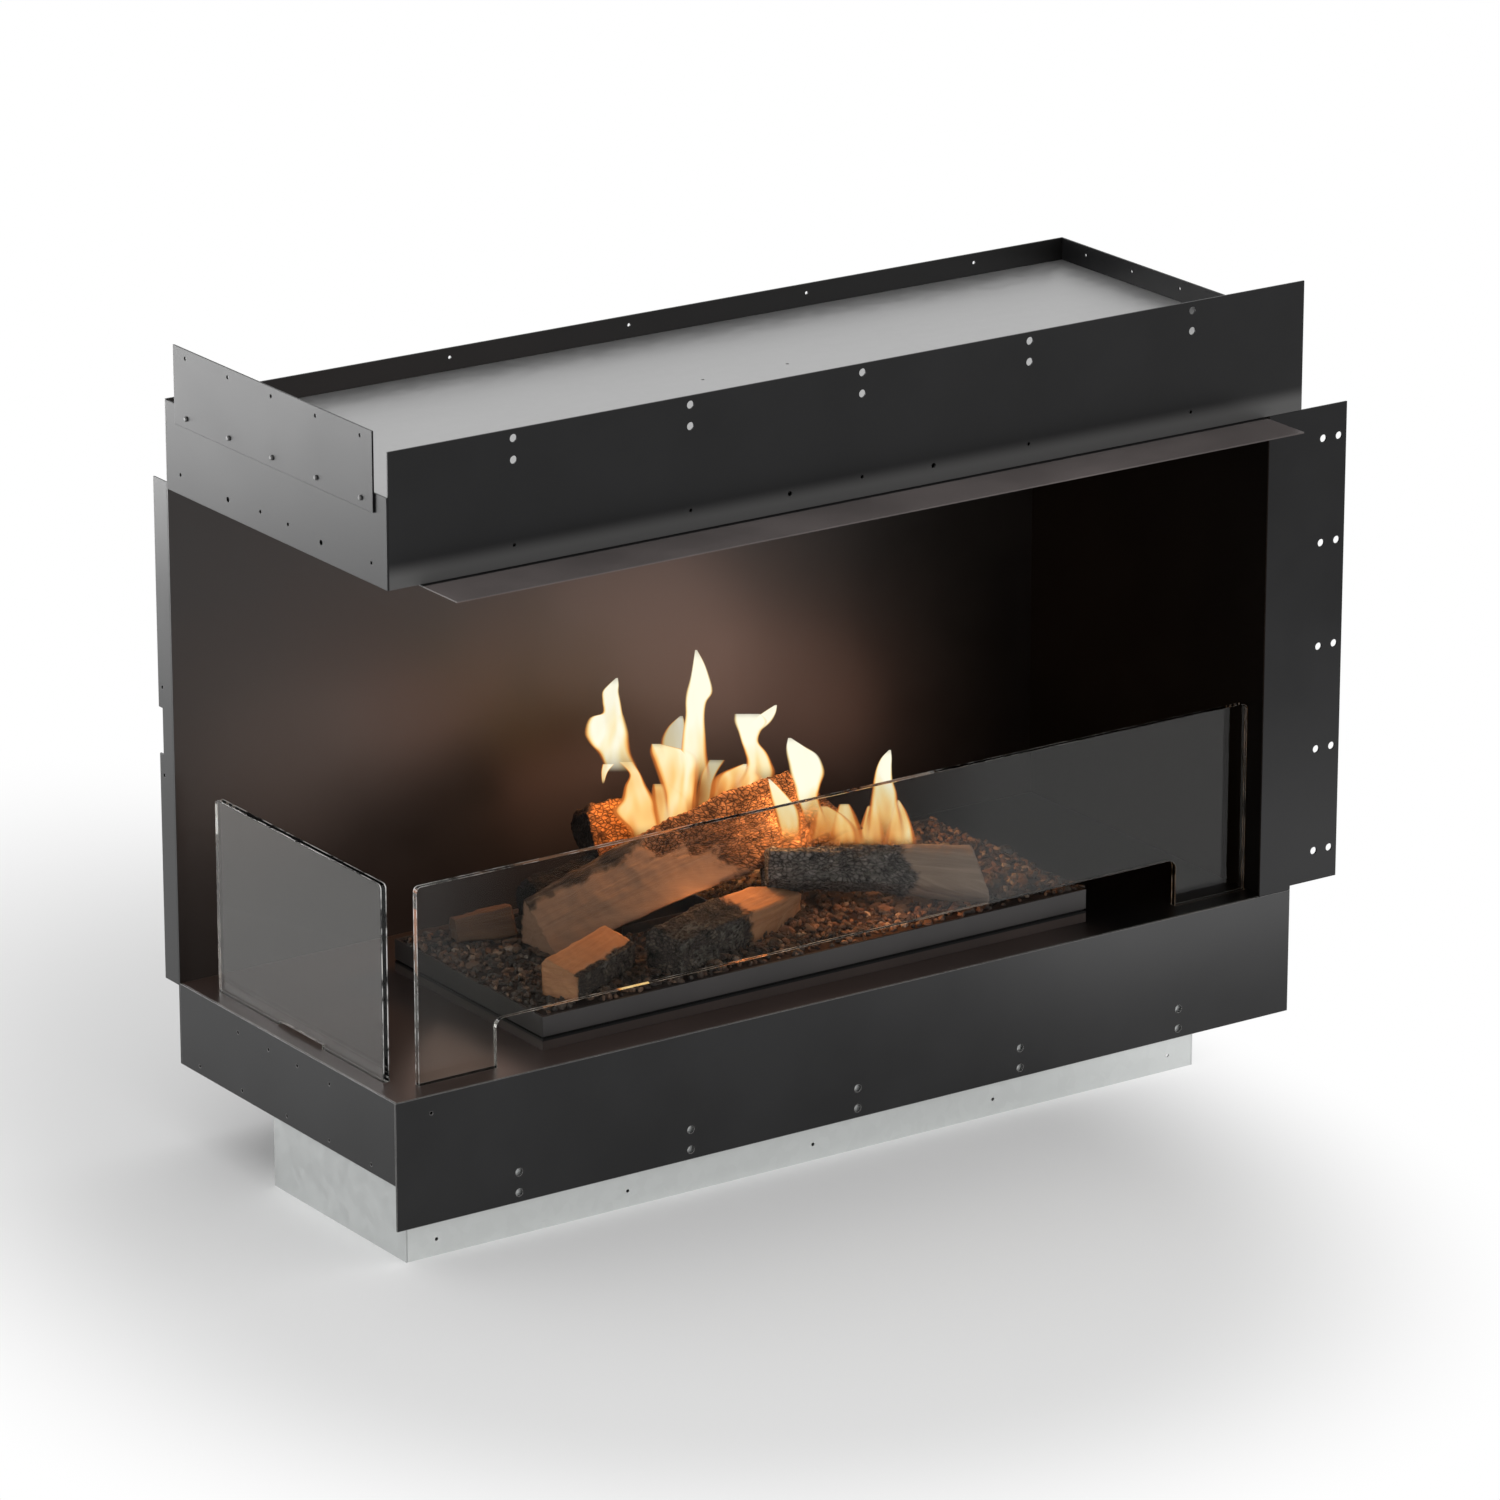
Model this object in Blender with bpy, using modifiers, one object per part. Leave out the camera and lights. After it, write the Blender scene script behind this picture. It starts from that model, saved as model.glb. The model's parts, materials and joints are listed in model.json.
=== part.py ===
"""Corner bioethanol fireplace: a built-in sheet steel firebox, open at the front and at the left.

Metres, +Z up. Every piece is placed from the casing's front left corner at floor level, which hangs
from one empty, so that the middle of the whole outline stands on the world's origin. X runs along the
front, Y runs from the front to the back.
"""
import math

import bmesh
import bpy
from mathutils import Matrix, Vector

# Casing, outside sizes
CASE_WIDTH = 1.200
CASE_DEPTH = 0.450
SHEET = 0.002
LIGHT_SHEET = 0.0015
GAP = 0.0003
OVERRUN = 0.004

# Heights above the floor, and rises above the hood's lower edge
SKIRT_FRONT_BOTTOM = 0.039
SIDE_BOTTOM = 0.0905
BASE_BOTTOM = 0.092
HEARTH_LEVEL = 0.185
HOOD_BOTTOM = 0.753
HOOD_LEFT_RISE = 0.100
HOOD_FRONT_RISE = 0.149
WALL_RISE = 0.101
COVER_RISE = 0.075

# Fixing holes: large ones in pairs for wall screws, small ones for board screws
FIXING_HOLE_RADIUS = 0.0045
SMALL_HOLE_RADIUS = 0.0021
BOLD_HOLE_RADIUS = 0.003
HOOD_PAIR_FIRST_SHARE = 0.13025
SKIRT_PAIR_FIRST_SHARE = 0.12858
PAIR_PITCH_SHARE = 0.185
PAIR_SPACING = 0.0235
PAIR_COUNT = 5
HOOD_PAIR_DROP = 0.010
SKIRT_PAIR_RISE = 0.011
FIXING_HOLE_SIDES = 16
SMALL_HOLE_SIDES = 8

# Front skirt
SKIRT_FRONT_SHORTFALL = 0.001
SKIRT_HOLE_INSET = 0.0446
SKIRT_HOLE_DROP = 0.020

# Left skirt: a lower and an upper row of holes, as shares of the casing's depth
SKIRT_LOWER_RISE = 0.0095
SKIRT_LOWER_SHARES = (0.114, 0.304, 0.498, 0.707, 0.907)
SKIRT_UPPER_SHARES = (0.299, 0.446, 0.579, 0.721)
SKIRT_UPPER_DROP = 0.0195

# Left hood plate: rows of holes as shares of the casing's depth
HOOD_LEFT_SMALL_SHARES = (0.069, 0.439, 0.564, 0.933)
HOOD_LEFT_BOLD_SHARES = (0.291, 0.713)
HOOD_ROW_RISE = 0.0226
HOOD_BOLD_RISE = 0.0194
HOOD_BOLD_SHARES = (0.4218, 0.579)

# Upper flange screwed to the left hood plate
UPPER_FLANGE_START = 0.023
UPPER_FLANGE_BACK_MARGIN = 0.024
UPPER_FLANGE_LAP = 0.021
UPPER_FLANGE_HEIGHT = 0.088
UPPER_FLANGE_HOLE_SHARES = (0.058, 0.277, 0.498, 0.718, 0.937)
UPPER_FLANGE_HOLE_DROP = 0.010
UPPER_FLANGE_HOLE_RADIUS = 0.00225
UPPER_FLANGE_SCREW_RISE = 0.011

# Self-tapping screws of the upper flange
SCREW_RADIUS = 0.002
SCREW_HOLE_RADIUS = 0.0024
SCREW_HEAD_RADIUS = 0.003
SCREW_HEAD_HEIGHT = 0.0022
SCREW_LENGTH = 0.012
TURNED_SIDES = 10

# Right wall: outer sheet, insulation and an inner liner that faces the fire
RIGHT_WALL_THICKNESS = 0.040
RIM_HOLE_DROP = 0.011
RIM_HOLE_SHARES = (0.104, 0.301, 0.498, 0.699, 0.894)

# Right front flange
FLANGE_LINER_LAP = 0.0045
FLANGE_REACH = 0.065
FLANGE_STEP_RISE = 0.005
FLANGE_HOLE_OUT = 0.0105
FLANGE_HOLE_SPACING = 0.0222
FLANGE_HOLE_DROP = 0.0385
FLANGE_HOLE_PITCH_SHARE = 0.21514
FLANGE_HOLE_COUNT = 5

# Back left flange: an angle behind the back wall, with a notch in its outer edge
BACK_FLANGE_BOTTOM = 0.1825
BACK_FLANGE_RISE = 0.007
BACK_FLANGE_WIDTH = 0.0287
BACK_FLANGE_LEG = 0.030
NOTCH_BOTTOM = 0.4445
NOTCH_HEIGHT = 0.0535
NOTCH_DEPTH = 0.008
NOTCH_HOLE_OFFSET = 0.024
NOTCH_HOLE_INSET = 0.009

# Ledge below the front hood plate, which carries the edge of the wall board
LEDGE_START = 0.040
LEDGE_END_MARGIN = 0.052
LEDGE_REACH = 0.071
LEDGE_LEG = 0.037

# Inside the hood and the base: insulation, angles, and a rib below the top cover and the hearth
RIB_WIDTH = 0.025
COVER_RIB_HEIGHT = 0.030
COVER_RIB_SHARE = 0.5511
COVER_SCREW_SHARES = (0.475, 0.569)
BASE_RIB_SHARE = 0.7333
ANGLE_LEG = 0.020
INSULATION_THICKNESS = 0.025

# Plinth
PLINTH_LEFT = 0.013
PLINTH_FRONT = 0.004
PLINTH_RIGHT_SETBACK = 0.134
PLINTH_DEPTH = 0.270
PLINTH_LIP = 0.030
PLINTH_HOLE_HEIGHT = 0.0185
PLINTH_HOLE_FIRST_SHARE = 0.03656
PLINTH_HOLE_PITCH_SHARE = 0.23248
PLINTH_HOLE_COUNT = 5

# Glass panes, which stand in slots in the hearth
GLASS = 0.008
GLASS_TOP = 0.408
GLASS_SEAT_DEPTH = 0.008
GLASS_CLEARANCE = 0.0005
GLASS_CORNER = 0.006
GLASS_EDGE_BEVEL = 0.0006
FRONT_GLASS_LEFT = 0.0495
FRONT_GLASS_END_CLEARANCE = 0.003
FRONT_GLASS_FACE = 0.031
CUTOUT_INSET = 0.098
CUTOUT_RISE = 0.055
CUTOUT_CORNER = 0.010
LEFT_GLASS_FACE = 0.023
LEFT_GLASS_FRONT = 0.0615
LEFT_GLASS_BACK_MARGIN = 0.0475
NOTCH_IN_GLASS_START = 0.1245
NOTCH_IN_GLASS_LENGTH = 0.090
NOTCH_IN_GLASS_RISE = 0.004
CHANNEL_WALL = 0.0015
CHANNEL_END = 0.0025
GLASS_PAD = 0.0014
CORNER_STEPS = 5

# Burner tray
TRAY_LEFT = 0.215
TRAY_FRONT = 0.045
TRAY_RIGHT_SPACE = 0.217
TRAY_BACK_SPACE = 0.105
TRAY_TOP = 0.224
RIM_HEIGHT = 0.023
RIM_WALL = 0.003
FOOT_WALL = 0.004
GROOVE_HEIGHT = 0.002
GROOVE_DEPTH = 0.002
DECK_DROP = 0.008

# Burner: tank below the hearth, two flame slots, one shutter that closes both
SLOT_LENGTH_SHARE = 0.16896
SLOT_WIDTH = 0.040
SLOT_FIRST_SHARE = 0.29533
SLOT_LINE_SHARE = 0.63333
SHUTTER_MARGIN = 0.012
SHUTTER_END = 0.007
SHUTTER_WIDTH = 0.1094
SHUTTER_WINDOW_EXTRA = 0.002
SHUTTER_ROD_RADIUS = 0.0025
SHUTTER_ROD_LAP = 0.011
KNOB_RADIUS = 0.009
KNOB_LENGTH = 0.024
KNOB_STANDOFF = 0.008
KNOB_BORE_DEPTH = 0.012
RAIL_WEB = 0.004
RAIL_LEDGE = 0.008
COLLAR_WALL = 0.002
COLLAR_HEIGHT = 0.018
TANK_WALL = 0.0015
TANK_END = 0.015
TANK_WIDTH = 0.100
TANK_FLANGE = 0.013
TANK_CLEARANCE = 0.002
TANK_FLOOR_CLEARANCE = 0.006
WADDING_SHARE = 0.62
WADDING_CLEARANCE = 0.0004

# Bed of chips round the collars
BED_TOP = 0.2265
BED_RELIEF = 0.0022
BED_CLEARANCE = 0.001
BED_CELL = 0.030

# Logs: half thickness as shares of the tray's length and depth, the smaller of which the shares below follow
LOG_LENGTH_SHARE = 0.04671
LOG_DEPTH_SHARE = 0.11334
LOG_SIDES = 24
LOG_STATIONS = 7
LOG_WAVE_SHARE = 0.045

# Name, near end and far end as shares of the tray's length and depth with the rise above the bed as a
# share of the log radius, thickness at each end, width, bend, roll in degrees, then the split faces,
# each a direction in degrees and a share of the radius
LOG_SHARES = (
    ("main_split_log", (0.144, 0.605, -0.04), (0.718, 0.649, 2.10), 1.30, 1.24, 1.00, 0.05, 0,
     ((41, 0.44), (-90, 0.42), (160, 0.46))),
    ("rear_log", (0.350, 0.850, 1.74), (0.350, 1.080, 1.74), 1.06, 0.30, 0.75, 0.0, 0,
     ((0, 0.95), (90, 0.90), (180, 0.95), (-90, 0.90))),
    ("front_right_log", (0.526, 0.455, 0.835), (0.832, 0.127, -0.05), 0.70, 0.95, 1.00, 0.0, 10,
     ((-60, 0.86), (120, 0.8))),
    ("front_left_log", (0.058, 0.100, 0.0), (0.212, 0.290, 0.0), 0.74, 0.72, 1.05, 0.0, 0,
     ((70, 0.60), (-90, 0.80))),
    ("black_ended_log", (0.250, 0.130, 0.0), (0.568, 0.425, 0.0), 0.76, 0.40, 1.05, 0.0, 0,
     ((70, 0.82), (-90, 0.8))),
    ("left_split_log", (0.062, 0.840, 0.0), (0.150, 0.790, 0.0), 0.50, 0.66, 1.05, 0.0, 0,
     ((20, 0.60), (100, 0.70), (-90, 0.8))),
    ("charred_log", (0.200, 0.850, 0.0), (0.380, 0.860, 0.0), 0.80, 0.98, 1.00, 0.0, 0, ((-90, 0.85),)),
)

# Sizes that follow from the ones above
HOOD_LEFT_TOP = HOOD_BOTTOM + HOOD_LEFT_RISE
HOOD_FRONT_TOP = HOOD_BOTTOM + HOOD_FRONT_RISE
WALL_TOP = HOOD_BOTTOM + WALL_RISE
COVER_TOP = HOOD_BOTTOM + COVER_RISE
UPPER_FLANGE_BOTTOM = HOOD_LEFT_TOP - UPPER_FLANGE_LAP
FLANGE_HOLE_PITCH = (HOOD_BOTTOM - HEARTH_LEVEL) * FLANGE_HOLE_PITCH_SHARE
BACK_FLANGE_TOP = HOOD_BOTTOM + BACK_FLANGE_RISE
HOOD_PAIR_FIRST = CASE_WIDTH * HOOD_PAIR_FIRST_SHARE
SKIRT_PAIR_FIRST = CASE_WIDTH * SKIRT_PAIR_FIRST_SHARE
PAIR_PITCH = CASE_WIDTH * PAIR_PITCH_SHARE
SKIRT_FRONT_WIDTH = CASE_WIDTH - SKIRT_FRONT_SHORTFALL
UPPER_FLANGE_LENGTH = CASE_DEPTH - UPPER_FLANGE_START - UPPER_FLANGE_BACK_MARGIN
LINER_FACE = CASE_WIDTH - RIGHT_WALL_THICKNESS
FLANGE_INNER = LINER_FACE - FLANGE_LINER_LAP
FLANGE_OUTER = CASE_WIDTH + FLANGE_REACH
LEDGE_LENGTH = CASE_WIDTH - LEDGE_START - LEDGE_END_MARGIN
COVER_RIB_LINE = CASE_DEPTH * COVER_RIB_SHARE
BASE_RIB_LINE = CASE_DEPTH * BASE_RIB_SHARE
PLINTH_LENGTH = CASE_WIDTH - PLINTH_LEFT - PLINTH_RIGHT_SETBACK
PLINTH_HOLE_FIRST = PLINTH_LENGTH * PLINTH_HOLE_FIRST_SHARE
PLINTH_HOLE_PITCH = PLINTH_LENGTH * PLINTH_HOLE_PITCH_SHARE
FRONT_GLASS_LENGTH = LINER_FACE - FRONT_GLASS_LEFT - FRONT_GLASS_END_CLEARANCE
LEFT_GLASS_LENGTH = CASE_DEPTH - LEFT_GLASS_FRONT - LEFT_GLASS_BACK_MARGIN
TRAY_LENGTH = LINER_FACE - TRAY_LEFT - TRAY_RIGHT_SPACE
TRAY_DEPTH = CASE_DEPTH - TRAY_FRONT - TRAY_BACK_SPACE
SLOT_LENGTH = TRAY_LENGTH * SLOT_LENGTH_SHARE
SLOT_FIRST = TRAY_LEFT + TRAY_LENGTH * SLOT_FIRST_SHARE
SLOT_LINE = TRAY_FRONT + TRAY_DEPTH * SLOT_LINE_SHARE
LOG_RADIUS = min(TRAY_LENGTH * LOG_LENGTH_SHARE, TRAY_DEPTH * LOG_DEPTH_SHARE)
BACK_IN = CASE_DEPTH - SHEET
RIGHT_IN = CASE_WIDTH - SHEET
INSIDE_START = SHEET + GAP
INSIDE_BACK = BACK_IN - GAP
INSIDE_RIGHT = RIGHT_IN - GAP
BASE_TOP = BASE_BOTTOM + SHEET
HEARTH_BOTTOM = HEARTH_LEVEL - SHEET
ON_HEARTH = HEARTH_LEVEL + GAP
CEILING_BOTTOM = HOOD_BOTTOM + SHEET
CEILING_TOP = CEILING_BOTTOM + SHEET
COVER_BOTTOM = COVER_TOP - SHEET
LEDGE_BACK = INSIDE_START + LIGHT_SHEET
LEDGE_TOP = HOOD_BOTTOM - GAP
FRAME_LEFT = -SHEET - GAP - GAP - SCREW_HEAD_HEIGHT
FRAME_BACK = CASE_DEPTH + GAP + BACK_FLANGE_WIDTH
MIDDLE_X = (FRAME_LEFT + FLANGE_OUTER) / 2
MIDDLE_Y = (FRAME_BACK - LEDGE_REACH) / 2
GLASS_BOTTOM = HEARTH_LEVEL - GLASS_SEAT_DEPTH
PAD_TOP = GLASS_BOTTOM - GAP
PAD_BOTTOM = PAD_TOP - GLASS_PAD
CHANNEL_BOTTOM = PAD_BOTTOM - GAP - CHANNEL_WALL
CUTOUT_START = FRONT_GLASS_LEFT + CUTOUT_INSET
CUTOUT_END = FRONT_GLASS_LEFT + FRONT_GLASS_LENGTH - CUTOUT_INSET
RIM_BOTTOM = TRAY_TOP - RIM_HEIGHT
TRAY_IN_LEFT = TRAY_LEFT + RIM_WALL
TRAY_IN_FRONT = TRAY_FRONT + RIM_WALL
TRAY_RIGHT = TRAY_LEFT + TRAY_LENGTH
TRAY_BACK = TRAY_FRONT + TRAY_DEPTH
DECK_TOP = TRAY_TOP - DECK_DROP
DECK_BOTTOM = DECK_TOP - SHEET
SHUTTER_TOP = DECK_BOTTOM - GAP
SHUTTER_BOTTOM = SHUTTER_TOP - SHEET
ROD_HEIGHT = SHUTTER_BOTTOM - GAP - SHUTTER_ROD_RADIUS
SHUTTER_START = SLOT_FIRST - SLOT_LENGTH - SHUTTER_END
SLOT_SECOND = SLOT_FIRST + 2 * SLOT_LENGTH
SLOTS_END = SLOT_SECOND + SLOT_LENGTH
SHUTTER_STOP = SLOTS_END + SHUTTER_MARGIN
TANK_START = SLOT_FIRST - TANK_END
TANK_STOP = SLOTS_END + TANK_END
TANK_RIM = ROD_HEIGHT - SHUTTER_ROD_RADIUS - GAP
TANK_BOTTOM = BASE_TOP + TANK_FLOOR_CLEARANCE

Parts = {}


def material(name, colour, roughness, metallic=0.0, alpha=1.0):
    """A Principled material with one colour and finish."""
    made = bpy.data.materials.new(name)
    made.use_nodes = True
    shader = made.node_tree.nodes["Principled BSDF"]
    shader.inputs["Base Color"].default_value = (*colour, 1.0)
    shader.inputs["Roughness"].default_value = roughness
    shader.inputs["Metallic"].default_value = metallic
    shader.inputs["Alpha"].default_value = alpha
    made.diffuse_color = (*colour, alpha)
    return made


def keep(name, mesh, finish, place=None):
    """Adds a mesh to the model as one named piece, hung from the casing's corner."""
    piece = bpy.data.objects.new(name, mesh)
    mesh.materials.clear()
    mesh.materials.append(finish)
    Parts["collection"].objects.link(piece)
    piece.parent = Parts["corner"]
    piece.matrix_local = place if place is not None else Matrix()
    return piece


def cutter(name, mesh, place=None):
    """Adds a mesh that only cuts or joins other pieces."""
    tool = bpy.data.objects.new(name, mesh)
    Parts["cutters"].objects.link(tool)
    tool.parent = Parts["corner"]
    tool.matrix_local = place if place is not None else Matrix()
    tool.hide_render = True
    tool.display_type = "WIRE"
    return tool


def combine(piece, tool, operation="DIFFERENCE"):
    """Cuts a piece with a tool, or joins the two."""
    modifier = piece.modifiers.new(tool.name, "BOOLEAN")
    modifier.operation = operation
    modifier.object = tool
    modifier.solver = "EXACT"


def finish_mesh(made, name):
    """Turns a bmesh into a mesh whose faces point outwards."""
    bmesh.ops.recalc_face_normals(made, faces=made.faces)
    mesh = bpy.data.meshes.new(name)
    made.to_mesh(mesh)
    made.free()
    return mesh


def box_mesh(name, low, high):
    """A closed box between two corners."""
    low, high = Vector(low), Vector(high)
    made = bmesh.new()
    bmesh.ops.create_cube(made, size=1)
    bmesh.ops.scale(made, vec=high - low, verts=made.verts)
    bmesh.ops.translate(made, vec=(low + high) / 2, verts=made.verts)
    return finish_mesh(made, name)


def box(name, low, high, finish):
    """A solid box as one piece, with its origin at its middle."""
    middle = (Vector(low) + Vector(high)) / 2
    return keep(name, box_mesh(name, Vector(low) - middle, Vector(high) - middle), finish,
                Matrix.Translation(middle))


PLANES = {
    "XY": Matrix(((1, 0, 0), (0, 1, 0), (0, 0, 1))),
    "XZ": Matrix(((1, 0, 0), (0, 0, -1), (0, 1, 0))),
    "YZ": Matrix(((0, 0, 1), (1, 0, 0), (0, 1, 0))),
}
NORMALS = {"XY": Vector((0, 0, 1)), "XZ": Vector((0, 1, 0)), "YZ": Vector((1, 0, 0))}


def rectangle(low, high):
    """The four corners of a flat rectangle."""
    return [(low[0], low[1]), (high[0], low[1]), (high[0], high[1]), (low[0], high[1])]


def circle(middle, radius, sides):
    """A round hole's outline."""
    turn = 2 * math.pi / sides
    return [(middle[0] + radius * math.cos(turn * i), middle[1] + radius * math.sin(turn * i))
            for i in range(sides)]


def small_hole(middle, radius=SMALL_HOLE_RADIUS):
    """A hole for a small screw."""
    return circle(middle, radius, SMALL_HOLE_SIDES)


def rounded(corners, radii):
    """An outline with an arc at each corner that has a radius."""
    points = []
    for i, (corner, radius) in enumerate(zip(corners, radii)):
        here = Vector(corner)
        if radius == 0:
            points.append(tuple(here))
            continue
        before = (Vector(corners[i - 1]) - here).normalized()
        after = (Vector(corners[(i + 1) % len(corners)]) - here).normalized()
        middle = here + (before + after) * radius
        for step in range(CORNER_STEPS + 1):
            share = step / CORNER_STEPS * math.pi / 2
            points.append(tuple(middle - after * radius * math.cos(share) - before * radius * math.sin(share)))
    return points


def outline_mesh(name, outlines, thickness):
    """A flat sheet of the first outline, with the other outlines as holes through it."""
    curve = bpy.data.curves.new(name, "CURVE")
    curve.dimensions = "2D"
    curve.fill_mode = "BOTH"
    curve.extrude = thickness / 2
    for outline in outlines:
        spline = curve.splines.new("POLY")
        spline.points.add(len(outline) - 1)
        for point, (u, v) in zip(spline.points, outline):
            point.co = (u, v, 0, 1)
        spline.use_cyclic_u = True
    holder = bpy.data.objects.new(name, curve)
    bpy.context.scene.collection.objects.link(holder)
    graph = bpy.context.evaluated_depsgraph_get()
    mesh = bpy.data.meshes.new_from_object(holder.evaluated_get(graph))
    bpy.data.objects.remove(holder)
    bpy.data.curves.remove(curve)
    made = bmesh.new()
    made.from_mesh(mesh)
    bpy.data.meshes.remove(mesh)
    bmesh.ops.remove_doubles(made, verts=made.verts, dist=GAP / 10)
    return finish_mesh(made, name)


def sheet(name, plane, outlines, near, thickness, finish):
    """A sheet or an extruded section: its outline lies in a plane and its thickness runs along the normal."""
    middle = NORMALS[plane] * (near + thickness / 2)
    place = Matrix.Translation(middle) @ PLANES[plane].to_4x4()
    return keep(name, outline_mesh(name, outlines, thickness), finish, place)


def turned_mesh(name, profile, sides=TURNED_SIDES):
    """A profile of radius and height, turned round Z."""
    mesh = bpy.data.meshes.new(name)
    made = bmesh.new()
    points = [made.verts.new((radius, 0, height)) for radius, height in profile]
    for first, second in zip(points, points[1:]):
        made.edges.new((first, second))
    made.to_mesh(mesh)
    made.free()
    holder = bpy.data.objects.new(name, mesh)
    bpy.context.scene.collection.objects.link(holder)
    turn = holder.modifiers.new("turn", "SCREW")
    turn.steps = sides
    turn.render_steps = sides
    turn.use_merge_vertices = True
    turn.merge_threshold = GAP / 10
    graph = bpy.context.evaluated_depsgraph_get()
    solid = bpy.data.meshes.new_from_object(holder.evaluated_get(graph))
    bpy.data.objects.remove(holder)
    bpy.data.meshes.remove(mesh)
    made = bmesh.new()
    made.from_mesh(solid)
    bpy.data.meshes.remove(solid)
    return finish_mesh(made, name)


def cylinder_mesh(name, radius, length, sides):
    """A closed cylinder along Z, centred."""
    made = bmesh.new()
    bmesh.ops.create_cone(made, cap_ends=True, segments=sides, radius1=radius, radius2=radius, depth=length)
    return finish_mesh(made, name)


ALONG_X = Matrix.Rotation(math.pi / 2, 4, "Y")
INTO_LEFT = Matrix.Rotation(-math.pi / 2, 4, "Y")
INTO_FRONT = Matrix.Rotation(math.pi / 2, 4, "X")


def hole_tools(name, places, radius, turn):
    """Cutters for a row of small holes."""
    made = bmesh.new()
    for place in places:
        bmesh.ops.create_cone(made, cap_ends=True, segments=SMALL_HOLE_SIDES, radius1=radius, radius2=radius,
                              depth=SHEET * 2 + OVERRUN * 2, matrix=Matrix.Translation(place) @ turn)
    return cutter(name, finish_mesh(made, name))


def screw_mesh(name):
    """A pan head screw; its head's underside is at zero height."""
    return turned_mesh(name, [
        (0, SCREW_HEAD_HEIGHT), (SCREW_HEAD_RADIUS - SCREW_HEAD_HEIGHT / 2, SCREW_HEAD_HEIGHT),
        (SCREW_HEAD_RADIUS, SCREW_HEAD_HEIGHT / 2), (SCREW_HEAD_RADIUS, 0), (SCREW_RADIUS, 0),
        (SCREW_RADIUS, -SCREW_LENGTH), (0, -SCREW_LENGTH)])


def plinth(finish):
    """Galvanised stand: two channels and two end plates."""
    top = BASE_BOTTOM - GAP
    right = PLINTH_LEFT + PLINTH_LENGTH
    back = PLINTH_FRONT + PLINTH_DEPTH
    start = PLINTH_LEFT + LIGHT_SHEET + GAP
    length = PLINTH_LENGTH - 2 * (LIGHT_SHEET + GAP)
    wall = LIGHT_SHEET

    def channel(web, lip):
        inner = web + wall if lip > web else web - wall
        return [(web, 0), (lip, 0), (lip, wall), (inner, wall), (inner, top - wall), (lip, top - wall),
                (lip, top), (web, top)]

    front = sheet("plinth_front", "YZ", [channel(PLINTH_FRONT, PLINTH_FRONT + PLINTH_LIP)], start, length, finish)
    holes = [(PLINTH_LEFT + PLINTH_HOLE_FIRST + PLINTH_HOLE_PITCH * i, PLINTH_FRONT, PLINTH_HOLE_HEIGHT)
             for i in range(PLINTH_HOLE_COUNT)]
    combine(front, hole_tools("plinth_hole_tools", holes, SMALL_HOLE_RADIUS, INTO_FRONT))
    sheet("plinth_back", "YZ", [channel(back, back - PLINTH_LIP)], start, length, finish)
    for name, near in (("plinth_left_end", PLINTH_LEFT), ("plinth_right_end", right - wall)):
        sheet(name, "YZ", [rectangle((PLINTH_FRONT, 0), (back, top))], near, wall, finish)


def skirt(black):
    """Front and left plates below the hearth."""
    pairs = []
    for i in range(PAIR_COUNT):
        x = SKIRT_PAIR_FIRST + PAIR_PITCH * i
        for rise in (SKIRT_PAIR_RISE, SKIRT_PAIR_RISE + PAIR_SPACING):
            pairs.append(circle((x, SKIRT_FRONT_BOTTOM + rise), FIXING_HOLE_RADIUS, FIXING_HOLE_SIDES))
    corner_hole = small_hole((SKIRT_HOLE_INSET, HEARTH_LEVEL - SKIRT_HOLE_DROP))
    sheet("skirt_front", "XZ", [rectangle((0, SKIRT_FRONT_BOTTOM), (SKIRT_FRONT_WIDTH, HEARTH_LEVEL)),
                                corner_hole, *pairs], 0, SHEET, black)
    lower = [small_hole((CASE_DEPTH * share, SIDE_BOTTOM + SKIRT_LOWER_RISE)) for share in SKIRT_LOWER_SHARES]
    upper = [small_hole((CASE_DEPTH * share, HEARTH_LEVEL - SKIRT_UPPER_DROP)) for share in SKIRT_UPPER_SHARES]
    sheet("skirt_left", "YZ", [rectangle((INSIDE_START, SIDE_BOTTOM), (INSIDE_BACK, HEARTH_LEVEL)),
                               *lower, *upper], 0, SHEET, black)
    edge = INSIDE_START + LIGHT_SHEET
    reach = INSIDE_START + ANGLE_LEG
    angle = [(INSIDE_START, INSIDE_START), (reach, INSIDE_START), (reach, edge), (edge, edge), (edge, reach),
             (INSIDE_START, reach)]
    start = BASE_TOP + GAP
    sheet("skirt_corner_angle", "XY", [angle], start + ANGLE_LEG + GAP,
          CHANNEL_BOTTOM - start - ANGLE_LEG - 2 * GAP, black)


def base(black, bright):
    """Bottom plate of the casing, its left side angle, and the rib below the hearth."""
    sheet("base_plate", "XY", [rectangle((INSIDE_START, INSIDE_START), (INSIDE_RIGHT, INSIDE_BACK))],
          BASE_BOTTOM, SHEET, black)
    low = BASE_TOP + GAP
    edge = INSIDE_START + LIGHT_SHEET
    reach = INSIDE_START + ANGLE_LEG
    section = [(INSIDE_START, low), (reach, low), (reach, low + LIGHT_SHEET), (edge, low + LIGHT_SHEET),
               (edge, low + ANGLE_LEG), (INSIDE_START, low + ANGLE_LEG)]
    angle = sheet("base_side_angle", "XZ", [section], INSIDE_START, INSIDE_BACK - INSIDE_START, black)
    places = [(0, CASE_DEPTH * share, SIDE_BOTTOM + SKIRT_LOWER_RISE) for share in SKIRT_LOWER_SHARES]
    combine(angle, hole_tools("base_angle_tools", places, SMALL_HOLE_RADIUS, INTO_LEFT))
    start = LEFT_GLASS_FACE + GLASS + GLASS_CLEARANCE + CHANNEL_WALL + GAP
    sheet("base_rib", "YZ", [channel_section(BASE_RIB_LINE, RIB_WIDTH, low, HEARTH_BOTTOM - GAP)], start,
          INSIDE_RIGHT - start, bright)


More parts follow.
